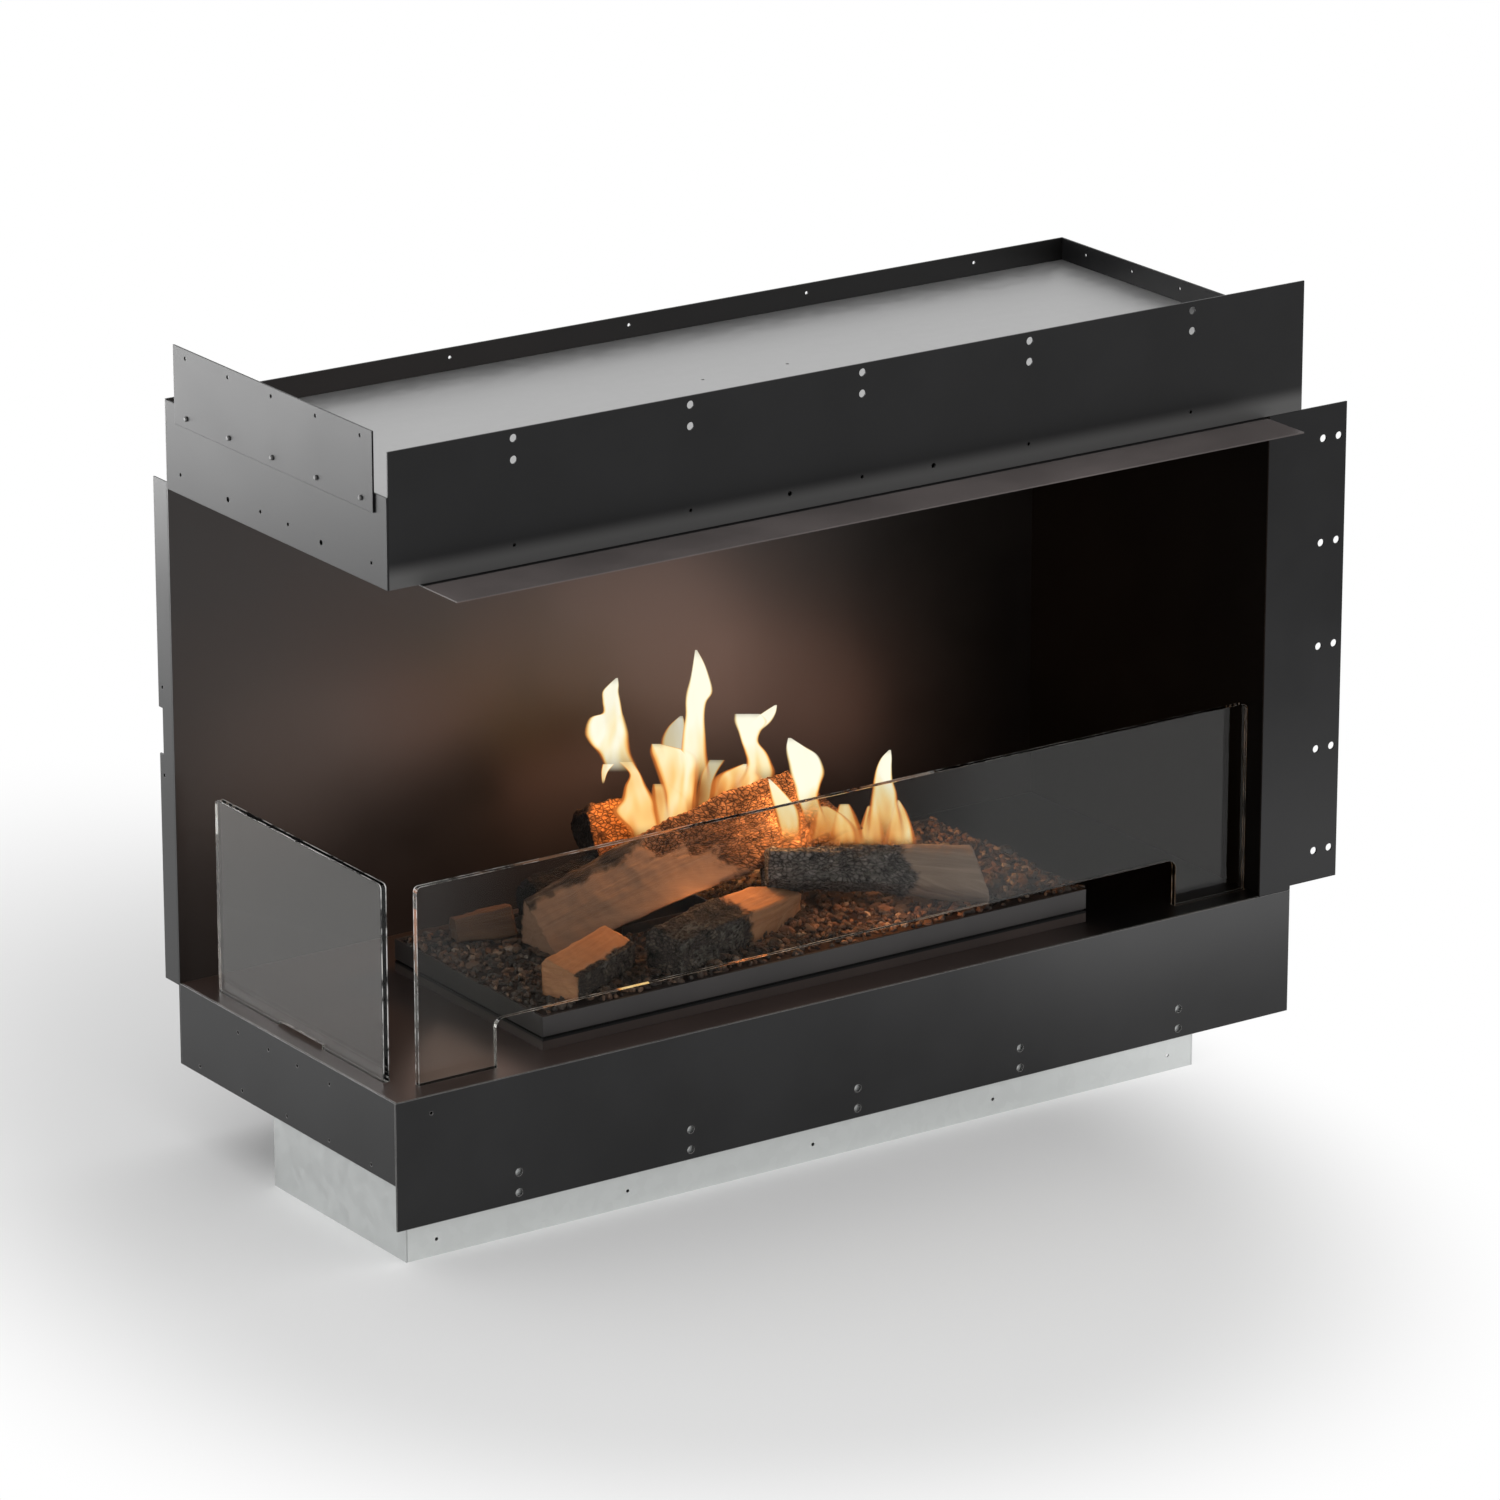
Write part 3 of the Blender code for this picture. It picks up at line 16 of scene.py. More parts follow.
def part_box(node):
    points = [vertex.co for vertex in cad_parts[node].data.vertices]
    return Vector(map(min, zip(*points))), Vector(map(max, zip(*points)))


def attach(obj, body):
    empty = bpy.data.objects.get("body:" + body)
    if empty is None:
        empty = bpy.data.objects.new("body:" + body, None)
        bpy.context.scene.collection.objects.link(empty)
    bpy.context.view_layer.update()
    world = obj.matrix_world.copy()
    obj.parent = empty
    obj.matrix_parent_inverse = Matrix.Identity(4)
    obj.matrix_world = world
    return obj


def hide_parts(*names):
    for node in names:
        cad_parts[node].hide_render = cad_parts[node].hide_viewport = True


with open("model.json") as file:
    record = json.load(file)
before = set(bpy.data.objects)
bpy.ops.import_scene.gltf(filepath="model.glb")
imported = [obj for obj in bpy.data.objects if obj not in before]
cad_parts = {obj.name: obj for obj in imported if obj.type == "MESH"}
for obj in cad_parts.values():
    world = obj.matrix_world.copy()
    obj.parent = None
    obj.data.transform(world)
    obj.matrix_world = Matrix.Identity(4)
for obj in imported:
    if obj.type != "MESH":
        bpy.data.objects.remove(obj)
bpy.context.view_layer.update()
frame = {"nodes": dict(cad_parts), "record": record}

# The casing's front left corner in the row frame
CORNER = Vector((*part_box("skirt_front")[0].xy, 0))
SEED = 7

# Camera: the photograph's viewing angle
CAMERA_PLACE = Vector((-4.08796, -6.63075, 3.18439))
CAMERA_DOWN = 18.508
CAMERA_TURN = -34.412
CAMERA_LENS = 189.16
CAMERA_SENSOR = 36.0
PHOTO_SIZE = 1500

# Floor and light: an even white room
FLOOR_SIZE = 60.0
FLOOR_COLOUR = (0.88, 0.88, 0.88)
FLOOR_MIDDLE = (0.35, -0.12)
FLOOR_FADE = (0.52, 0.95)
FADE_TO_RIGHT = 1.15
FADE_TO_BACK = 0.5
WORLD_LIGHT = 0.92
WHITE = (1.0, 1.0, 1.0)

# Panels that only satin surfaces mirror: name, place, aim, size, brightness and the nodes that they light
PANELS = (
    ("left_panel", (-1.00, 1.85, 0.84), (0.0, 0.30, 0.60), (2.1, 1.3), 7.5, ()),
    ("floor_panel", (1.60, -0.50, 0.015), (1.60, -0.50, 1.0), (1.0, 0.45), 2.3,
     ("right_front_flange", "skirt_front")),
)

# Light of the flames on what stands round them: place, power and radius
FIRE_COLOUR = (1.0, 0.50, 0.19)
FIRE_LAMPS = (
    ((0.470, 0.300, 0.400), 2.0, 0.045),
    ((0.575, 0.285, 0.420), 2.2, 0.045),
    ((0.665, 0.275, 0.370), 1.5, 0.035),
    ((0.640, 0.190, 0.330), 0.9, 0.025),
    ((0.800, 0.215, 0.300), 1.0, 0.030),
    ((0.500, 0.150, 0.262), 0.22, 0.012),
)

# Glow of the burning fuel on the loose chips alone: place, power and radius
EMBER_COLOUR = (1.0, 0.42, 0.15)
EMBER_LAMPS = (
    ((0.680, 0.075, 0.300), 0.8, 0.03),
    ((0.560, 0.250, 0.290), 0.6, 0.03),
)

# Soft sheen of the fire on satin plates: place, brightness, radius, colour and the nodes that show it
SHEEN_LAMPS = (
    ((0.770, 0.200, 0.360), 2.3, 0.16, (1.0, 0.57, 0.43), ("back_wall",)),
    ((0.580, 0.200, 0.250), 3.0, 0.17, (1.0, 0.44, 0.28), ("back_wall",)),
    ((0.970, 0.200, 0.260), 2.0, 0.12, (1.0, 0.47, 0.31), ("back_wall",)),
    ((0.320, 0.200, 0.250), 1.1, 0.18, (1.0, 0.70, 0.58), ("back_wall", "hearth_plate")),
    ((0.600, 0.120, 0.250), 1.0, 0.14, (1.0, 0.60, 0.48), ("hearth_plate",)),
)


def place(point):
    """A point given from the casing's corner, in the row frame."""
    return Vector(point) + CORNER


def smooth(value, low, high):
    """0 below low, 1 above high, and a soft step between."""
    share = min(1.0, max(0.0, (value - low) / (high - low)))
    return share * share * (3 - 2 * share)


def along_table(table, share):
    """A value from (share, value) pairs, straight between them."""
    for (start, first), (end, second) in zip(table, table[1:]):
        if share <= end:
            return first + (second - first) * (share - start) / (end - start)
    return table[-1][1]


def shade(colour, factor):
    """A darker or paler form of a colour."""
    return tuple(channel * factor for channel in colour)


# Shader helpers

def add(tree, kind, settings=None, **inputs):
    """Adds one shader node. Inputs are numbers, colours or sockets, named by their socket or as _number."""
    made = tree.nodes.new("ShaderNode" + kind)
    for name, value in (settings or {}).items():
        setattr(made, name, value)
    for name, value in inputs.items():
        socket = made.inputs[int(name[1:])] if name[1:].isdigit() else made.inputs[name.replace("_", " ")]
        if isinstance(value, bpy.types.NodeSocket):
            tree.links.new(value, socket)
        elif isinstance(value, tuple) and len(value) == 3 and socket.type == "RGBA":
            socket.default_value = (*value, 1.0)
        else:
            socket.default_value = value
    return made


def blank_material(name):
    """A material whose tree holds only its output, the tree, and each point's place in the row frame."""
    made = bpy.data.materials.new(name)
    made.use_nodes = True
    tree = made.node_tree
    tree.nodes.clear()
    tree.nodes.new("ShaderNodeOutputMaterial")
    return made, tree, add(tree, "TexCoord").outputs["Object"]


def show(owner, shader):
    """Gives a shader to a material or world, whose tree has its output as first node."""
    tree = owner.node_tree
    tree.links.new(shader.outputs[0], tree.nodes[0].inputs[0])
    return owner


def surface(made, **inputs):
    """Gives a solid surface to a material."""
    return show(made, add(made.node_tree, "BsdfPrincipled", **inputs))


def ramp(tree, factor, *stops):
    """A colour ramp from (position, colour) stops."""
    made = add(tree, "ValToRGB", Fac=factor)
    elements = made.color_ramp.elements
    while len(elements) < len(stops):
        elements.new(0.5)
    for element, (position, colour) in zip(elements, stops):
        element.position = position
        element.color = (*colour, 1.0)
    return made.outputs["Color"]


def grey(value):
    """An even grey."""
    return (value, value, value)


def mixed(tree, factor, first, second, kind="MIX"):
    """Mixes two colours."""
    settings = {"data_type": "RGBA", "blend_type": kind}
    return add(tree, "Mix", settings, _0=factor, _6=first, _7=second).outputs[2]


def maths(tree, kind, first, second=0.0, third=0.0):
    """One Math node."""
    return add(tree, "Math", {"operation": kind}, _0=first, _1=second, _2=third).outputs[0]


def product(tree, first, *others):
    """The product of values."""
    for other in others:
        first = maths(tree, "MULTIPLY", first, other)
    return first


def between(tree, value, low, high, start=0.0, end=1.0, soft=False):
    """start where the value is low, end where it is high, and a straight or soft passage between them."""
    kind = "SMOOTHSTEP" if soft else "LINEAR"
    return add(tree, "MapRange", {"interpolation_type": kind}, Value=value, From_Min=low, From_Max=high,
               To_Min=start, To_Max=end).outputs[0]


def stretched(tree, source, *scale):
    """Coordinates multiplied along each axis."""
    return add(tree, "VectorMath", {"operation": "MULTIPLY"}, _0=source, _1=scale).outputs[0]


def grained(tree, source, scale, detail=2.0, **more):
    """A noise value between 0 and 1."""
    return add(tree, "TexNoise", Vector=source, Scale=scale, Detail=detail, **more).outputs["Fac"]


def part(tree, vector, axis):
    """One coordinate of a vector."""
    return add(tree, "SeparateXYZ", Vector=vector).outputs[axis]


def marks(tree, name):
    """The three channels of a colour that the mesh carries at its points."""
    colour = add(tree, "Attribute", {"attribute_name": name}).outputs["Color"]
    return add(tree, "SeparateColor", Color=colour).outputs


def embossed(tree, height, strength, depth, **more):
    """A surface direction that follows a height."""
    return add(tree, "Bump", Strength=strength, Distance=depth, Height=height, **more).outputs[0]


def rounded_edge(tree, radius, samples=6):
    """A surface direction that turns softly over the sheet's edges."""
    return add(tree, "Bevel", {"samples": samples}, Radius=radius).outputs[0]


# Finishes: how sheet edges are rounded to catch the light, and how deep each grain is

EDGE_ROUNDING = 0.0007
WIDE_ROUNDING = 0.0012
TRAY_ROUNDING = 0.001
LEDGE_ROUNDING = 0.0002
ZINC_ROUNDING = 0.0004
PEEL_DEPTH = 0.0004
BRUSHED_DEPTH = 0.0003
FIBRE_DEPTH = 0.001
CHIP_GRIT = 0.0006
LOG_GRIT = 0.0011

# Painted highlights along sheet edges, the hood's lower edge painted pale as a reflection, and the painted
# shade along the joint behind the ledge
EDGE_GLINT_COLOUR = (0.42, 0.41, 0.40)
REFLECTION_BAND_HEIGHT = 0.030
REFLECTION_BAND_FADE = 0.020
PAINTED_REFLECTION_COLOUR = (0.095, 0.094, 0.093)
SHADE_LINE_DEPTH = -0.006
PAINTED_SHADE_COLOUR = (0.001, 0.001, 0.001)

# Burner surroundings: where the hearth's painted glow of the fire ends and its painted shade begins, and
# the depth of the painted shadow band atop the tray's foot
GLOW_PAINTED_UNTIL = 0.88
SHADE_PAINTED_FROM = 0.99
CLOUD_REACH = 0.04
GROOVE = 0.0045
GROOVE_FADE = 0.0006

# Panes: width of the ground strips along their rims, and where along the casing their painted highlight
# fades
ARRIS = 0.0016
GLINT_FADE_PART = (0.30, 1.05)
GLASS_TINT = (0.79, 0.79, 0.76)
CLEAR_TINT = (0.80, 0.80, 0.78)


def painted_edge_glint(tree, rounded, tint, strength):
    """Makes a coat paler along the sheet's edges, as a painted highlight."""
    flat = add(tree, "NewGeometry").outputs["True Normal"]
    turn = add(tree, "VectorMath", {"operation": "DOT_PRODUCT"}, _0=rounded, _1=flat).outputs["Value"]
    return mixed(tree, between(tree, turn, 0.97, 0.80, 0.0, strength), tint, EDGE_GLINT_COLOUR)


def powder_coat(name, colour, roughness=0.34, gloss=0.5, rounding=EDGE_ROUNDING, grain=0.03, edge_glint=0.0,
                dark_from=None, painted_reflection_until=None):
    """Satin powder coat: a fine orange-peel grain, faint mottling, and sheet edges that catch the light.

    dark_from is the depth behind the casing's front from which the coat is painted black as shade behind a
    joint, and painted_reflection_until the height up to which its lower edge is painted pale as a
    reflection.
    """
    made, tree, spot = blank_material(name)
    mottling = grained(tree, spot, 9.0, 4.0)
    tint = ramp(tree, mottling, (0.35, shade(colour, 0.82)), (0.65, shade(colour, 1.18)))
    rough = between(tree, mottling, 0.3, 0.7, roughness - 0.03, roughness + 0.03)
    rounded = rounded_edge(tree, rounding)
    # Painted highlight along the sheet's edges
    if edge_glint:
        tint = painted_edge_glint(tree, rounded, tint, edge_glint)
    # Painted shade: black behind the given depth
    if dark_from is not None:
        depth = maths(tree, "SUBTRACT", part(tree, spot, 1), CORNER.y)
        tint = mixed(tree, maths(tree, "GREATER_THAN", depth, dark_from), tint, PAINTED_SHADE_COLOUR)
    # Painted reflection: a pale band along the lower edge
    if painted_reflection_until is not None:
        pale = between(tree, part(tree, spot, 2), painted_reflection_until - REFLECTION_BAND_FADE, painted_reflection_until, 1.0, 0.0, soft=True)
        tint = mixed(tree, pale, tint, PAINTED_REFLECTION_COLOUR)
    peel = embossed(tree, grained(tree, spot, 420.0), grain, PEEL_DEPTH, Normal=rounded)
    return surface(made, Base_Color=tint, Roughness=rough, Normal=peel, Specular_IOR_Level=gloss)


def hearth_coat(name):
    """Heat-proof coat of the hearth: brown round the burner as a painted glow of the fire, near black
    towards the closed side as painted shade, its edges paler as a painted highlight.
    """
    made, tree, spot = blank_material(name)
    cloud = grained(tree, spot, 6.0, 4.0)
    reach = maths(tree, "MULTIPLY_ADD", cloud, CLOUD_REACH, part(tree, spot, 0))
    # Painted shade: near black towards the closed right side
    painted_shade = between(tree, reach, CORNER.x + GLOW_PAINTED_UNTIL, CORNER.x + SHADE_PAINTED_FROM, soft=True)
    # Painted glow of the fire: brown round the burner
    brown = ramp(tree, cloud, (0.35, (0.030, 0.021, 0.018)), (0.65, (0.038, 0.027, 0.024)))
    rounded = rounded_edge(tree, WIDE_ROUNDING)
    tint = painted_edge_glint(tree, rounded, mixed(tree, painted_shade, brown, (0.0018, 0.0016, 0.0015)), 0.9)
    return surface(made, Base_Color=tint, Normal=rounded, Roughness=0.34, Specular_IOR_Level=0.35)


def foot_coat(name):
    """Coat of the tray's foot: brown as a painted glow of the fire, with a black band along its groove as a
    painted shadow.
    """
    made, tree, spot = blank_material(name)
    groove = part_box("tray_foot")[1].z - GROOVE
    # Painted shadow: black band below the foot's top edge, along the groove
    painted_groove_shade = between(tree, part(tree, spot, 2), groove - GROOVE_FADE, groove)
    cloud = grained(tree, spot, 8.0, 4.0)
    # Painted glow of the fire: brown tones
    brown = ramp(tree, cloud, (0.35, (0.036, 0.027, 0.024)), (0.65, (0.046, 0.034, 0.030)))
    tint = mixed(tree, painted_groove_shade, brown, (0.0012, 0.0012, 0.0012))
    return surface(made, Base_Color=tint, Roughness=0.5, Specular_IOR_Level=0.2)


def galvanised(name, colour, roughness):
    """Zinc-coated sheet with faint spangle."""
    made, tree, spot = blank_material(name)
    spangle = add(tree, "TexVoronoi", Vector=spot, Scale=95.0).outputs["Color"]
    tone = add(tree, "SeparateColor", Color=spangle).outputs[0]
    streaks = grained(tree, stretched(tree, spot, 1.5, 9.0, 9.0), 6.0, 3.0)
    blend = maths(tree, "MULTIPLY_ADD", tone, 0.45, product(tree, streaks, 0.55))
    tint = ramp(tree, blend, (0.2, shade(colour, 0.97)), (0.8, shade(colour, 1.02)))
    rough = between(tree, tone, 0.0, 1.0, roughness - 0.03, roughness + 0.03)
    return surface(made, Base_Color=tint, Roughness=rough, Metallic=0.75,
                   Normal=rounded_edge(tree, ZINC_ROUNDING, samples=4))


def stainless(name):
    """Brushed stainless steel, slightly blued by heat."""
    made, tree, spot = blank_material(name)
    brushed = grained(tree, stretched(tree, spot, 3.0, 420.0, 420.0), 6.0, 3.0)
    tint = ramp(tree, grained(tree, spot, 14.0), (0.35, (0.40, 0.38, 0.35)), (0.6, (0.34, 0.33, 0.34)),
                (0.75, (0.42, 0.34, 0.26)))
    return surface(made, Base_Color=tint, Metallic=1.0,
                   Roughness=between(tree, brushed, 0.0, 1.0, 0.25, 0.42),
                   Normal=embossed(tree, brushed, 0.06, BRUSHED_DEPTH))


def soft_mineral(name, colour):
    """Fibre wadding, pressed board or a seat pad."""
    made, tree, spot = blank_material(name)
    fibres = grained(tree, stretched(tree, spot, 1.0, 3.0, 6.0), 160.0, 6.0)
    tint = ramp(tree, fibres, (0.3, shade(colour, 0.8)), (0.7, colour))
    return surface(made, Base_Color=tint, Roughness=0.95,
                   Normal=embossed(tree, fibres, 0.5, FIBRE_DEPTH))


def pane_glass(name, node, facing, *bending):
    """Toughened glass whose rim is ground along both of its edges. Lamps shine through it.
    The white ground strips are partly a painted highlight, which fades along the casing.

    facing is the axis across the pane, 0 or 1. bending gives the refractive index less one, as stops along
    the casing from its left end. An anti-glare coat has a low index, and beside it the glass mirrors the
    room.
    """
    made, tree, spot = blank_material(name)
    across = maths(tree, "SUBTRACT", part(tree, spot, 0), CORNER.x)
    index = maths(tree, "ADD", ramp(tree, across, *((stop, grey(extra)) for stop, extra in bending)), 1.0)
    haze = between(tree, grained(tree, spot, 5.0, 3.0), 0.0, 1.0, 0.0, 0.012)
    body = add(tree, "BsdfPrincipled", Base_Color=GLASS_TINT, Roughness=haze, IOR=index,
               Transmission_Weight=1.0)

    normal = part(tree, add(tree, "NewGeometry").outputs["True Normal"], facing)
    on_rim = maths(tree, "LESS_THAN", maths(tree, "ABSOLUTE", normal), 0.5)
    low, high = (corner[facing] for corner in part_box(node))
    depth = maths(tree, "SUBTRACT", part(tree, spot, facing), (low + high) / 2)
    on_arris = maths(tree, "GREATER_THAN", maths(tree, "ABSOLUTE", depth), (high - low) / 2 - ARRIS)
    frosted = between(tree, grained(tree, spot, 60.0, 3.0), 0.40, 0.60, 0.05, 0.85)
    # Painted highlight on the ground strips, fading along the casing
    painted_glint = between(tree, across, *GLINT_FADE_PART, 1.0, 0.25)
    ground = add(tree, "BsdfPrincipled", Base_Color=CLEAR_TINT, Roughness=0.35)
    pane = add(tree, "MixShader", _0=product(tree, on_rim, on_arris, frosted, painted_glint), _1=body.outputs[0],
               _2=ground.outputs[0])

    is_shadow = add(tree, "LightPath").outputs["Is Shadow Ray"]
    through = add(tree, "BsdfTransparent", Color=CLEAR_TINT)
    return show(made, add(tree, "MixShader", _0=is_shadow, _1=pane.outputs[0], _2=through.outputs[0]))


def chip_finish(name):
    """Ceramic chips: each has its own tone, from soot to brown, with a painted highlight on its upper
    corners.
    """
    made, tree, spot = blank_material(name)
    tone, top_glint, _ = marks(tree, "tone")
    speckle = grained(tree, spot, 650.0, 5.0)
    tint = ramp(tree, tone, (0.0, (0.010, 0.008, 0.007)), (0.4, (0.034, 0.020, 0.014)),
                (0.7, (0.092, 0.046, 0.026)), (0.92, (0.17, 0.098, 0.058)), (1.0, (0.28, 0.24, 0.20)))
    # Painted highlight on the upper corners
    painted_glint = mixed(tree, product(tree, top_glint, 0.5), tint, (0.20, 0.165, 0.13))
    speckled = mixed(tree, 0.75, painted_glint, ramp(tree, speckle, (0.3, grey(0.35)), (0.7, grey(1.0))), "MULTIPLY")
    return surface(made, Base_Color=speckled, Roughness=0.72,
                   Normal=embossed(tree, speckle, 0.5, CHIP_GRIT))


def log_finish(name, wood, deep_wood, char, cracked=0.0):
    """Moulded ceramic log: grained wood, furrowed bark and cracked char, mixed by what each point is."""
    made, tree, spot = blank_material(name)
    charred, bark, ash = marks(tree, "kind")
    along = add(tree, "UVMap", {"uv_map": "grain"}).outputs[0]

    fibres = grained(tree, stretched(tree, along, 16.0, 420.0, 1.0), 1.0, 6.0, Roughness=0.6)
    bands = grained(tree, stretched(tree, along, 5.0, 70.0, 1.0), 1.0, 3.0, Distortion=0.6)
    blotch = grained(tree, spot, 17.0, 3.0)
    grain = maths(tree, "MULTIPLY_ADD", fibres, 0.45, product(tree, bands, 0.55))
    halfway = tuple((pale + deep) / 2 for pale, deep in zip(wood, deep_wood))
    split = ramp(tree, grain, (0.34, deep_wood), (0.5, halfway), (0.66, wood))
    split = mixed(tree, product(tree, blotch, 0.45), split, shade(deep_wood, 0.62))

    scales = add(tree, "TexVoronoi", {"feature": "DISTANCE_TO_EDGE"}, Scale=1.0, Randomness=0.9,
                 Vector=stretched(tree, along, 150.0, 250.0, 1.0)).outputs["Distance"]
    crack = ramp(tree, scales, (0.0, grey(0.0)), (0.09, grey(0.55)), (0.25, grey(1.0)))
    soot = grained(tree, spot, 80.0, 3.0, Roughness=0.55)
    black = ramp(tree, soot, (0.32, shade(char, 0.45)), (0.55, char), (0.72, shade(char, 2.0)))
    black = mixed(tree, 0.92, black, crack, "MULTIPLY")
    split = mixed(tree, cracked, split, crack, "MULTIPLY")
    furrows = grained(tree, stretched(tree, along, 22.0, 210.0, 1.0), 1.0, 5.0, Roughness=0.7)
    rind = ramp(tree, furrows, (0.35, (0.012, 0.008, 0.006)), (0.5, (0.055, 0.034, 0.022)),
                (0.65, (0.13, 0.088, 0.058)), (0.8, (0.20, 0.165, 0.13)))

    tint = mixed(tree, charred, mixed(tree, bark, split, rind), black)
    # Pale grey: partly ash, partly a painted highlight
    tint = mixed(tree, product(tree, ash, 0.35), tint, (0.26, 0.24, 0.22))

    smoother = maths(tree, "MULTIPLY_ADD", charred, -0.26, 0.35)
    relief = maths(tree, "MULTIPLY_ADD", fibres, smoother, product(tree, soot, 0.4))
    depth = product(tree, maths(tree, "MINIMUM", scales, 0.22), maths(tree, "MAXIMUM", charred, cracked))
    height = maths(tree, "MULTIPLY_ADD", depth, 4.0, relief)
    return surface(made, Base_Color=tint, Roughness=0.82, Specular_IOR_Level=0.3,
                   Normal=embossed(tree, height, 0.75, LOG_GRIT))


def flame_finish(name):
    """Glowing flame: cream in its body, orange towards its root and at its edges, clear beyond them."""
    made, tree, spot = blank_material(name)
    body, rise, cover = marks(tree, "fire")
    streaks = grained(tree, stretched(tree, spot, 34.0, 12.0, 14.0), 1.0, 1.0, Distortion=0.6)
    warmth = maths(tree, "MULTIPLY_ADD", rise, 1.05, maths(tree, "MULTIPLY_ADD", streaks, 1.1, -0.74))
    warmth = maths(tree, "ADD", warmth, between(tree, body, 0.02, 0.60, -0.42, 0.24, soft=True))
    glow = ramp(tree, warmth, (0.0, (0.58, 0.16, 0.03)), (0.14, (0.90, 0.38, 0.09)),
                (0.32, (1.0, 0.64, 0.23)), (0.50, (1.0, 0.86, 0.50)), (0.74, (1.0, 0.97, 0.78)))
    edge = between(tree, body, 0.0, 0.34, 0.0, 0.90, soft=True)
    thin = between(tree, streaks, 0.35, 0.6, 0.78, 1.0)
    clear = add(tree, "BsdfTransparent")
    lit = add(tree, "Emission", Color=glow, Strength=1.06)
    return show(made, add(tree, "MixShader", _0=product(tree, edge, thin, cover), _1=clear.outputs[0],
                          _2=lit.outputs[0]))


# Pieces

def in_scene(name, data):
    """A new object in the scene."""
    made = bpy.data.objects.new(name, data)
    bpy.context.scene.collection.objects.link(made)
    return made


def link(name, mesh, finish, slot, *replaced):
    """Adds a piece of the casing and hides the nodes that it stands for.
    slot is not used.
    """
    piece = in_scene(name, mesh)
    mesh.materials.append(finish)
    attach(piece, "casing")
    if replaced:
        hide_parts(*replaced)
    return piece


def skin(made, rings):
    """Joins rings of points into a tube that is closed at both ends."""
    for first, second in zip(rings, rings[1:]):
        for i in range(len(first)):
            after = (i + 1) % len(first)
            made.faces.new((first[i], first[after], second[after], second[i]))
    made.faces.new(rings[0][::-1])
    made.faces.new(rings[-1])


def finished_mesh(made, name):
    """The mesh of a bmesh, which is freed."""
    mesh = bpy.data.meshes.new(name)
    made.to_mesh(mesh)
    made.free()
    return mesh


# Logs: how finely they are built, how sharp their split corners are, and the depths of their relief
LOG_AROUND = 132
LOG_STEP = 0.0026
CAP_RINGS = (0.14, 0.28, 0.42, 0.56, 0.70, 0.84, 0.95, 0.99)
EDGE_SOFTNESS = 48.0
LUMP_DEPTH = 0.0016
SPLINTER_DEPTH = 0.0008
BARK_DEPTH = 0.0030
SCALE_DEPTH = 0.0017
CHAR_DEPTH = 0.0010
BREAK_DEPTH = 0.0016

# Scales of the relief and of the zones' wavering, along and round the log or alike all ways
FURROW_SCALE = (14, 1.6)
FURROW_STRETCH = Vector((1, 3.2, 3.2))
SPLINTER_SCALE = (9, 5.5)
CRACK_SCALE = (100, 150)
LUMP_SCALE = 34
BREAK_SCALE = 120
WAVER_SCALE = 38

# How far the zones waver and how softly they end, as a share of the log's length and in degrees round it
WAVER = 0.05
WAVER_ROUND = 9
FADE_OUTSIDE = 0.02
FADE_INSIDE = 0.03
FADE_ROUND = 7


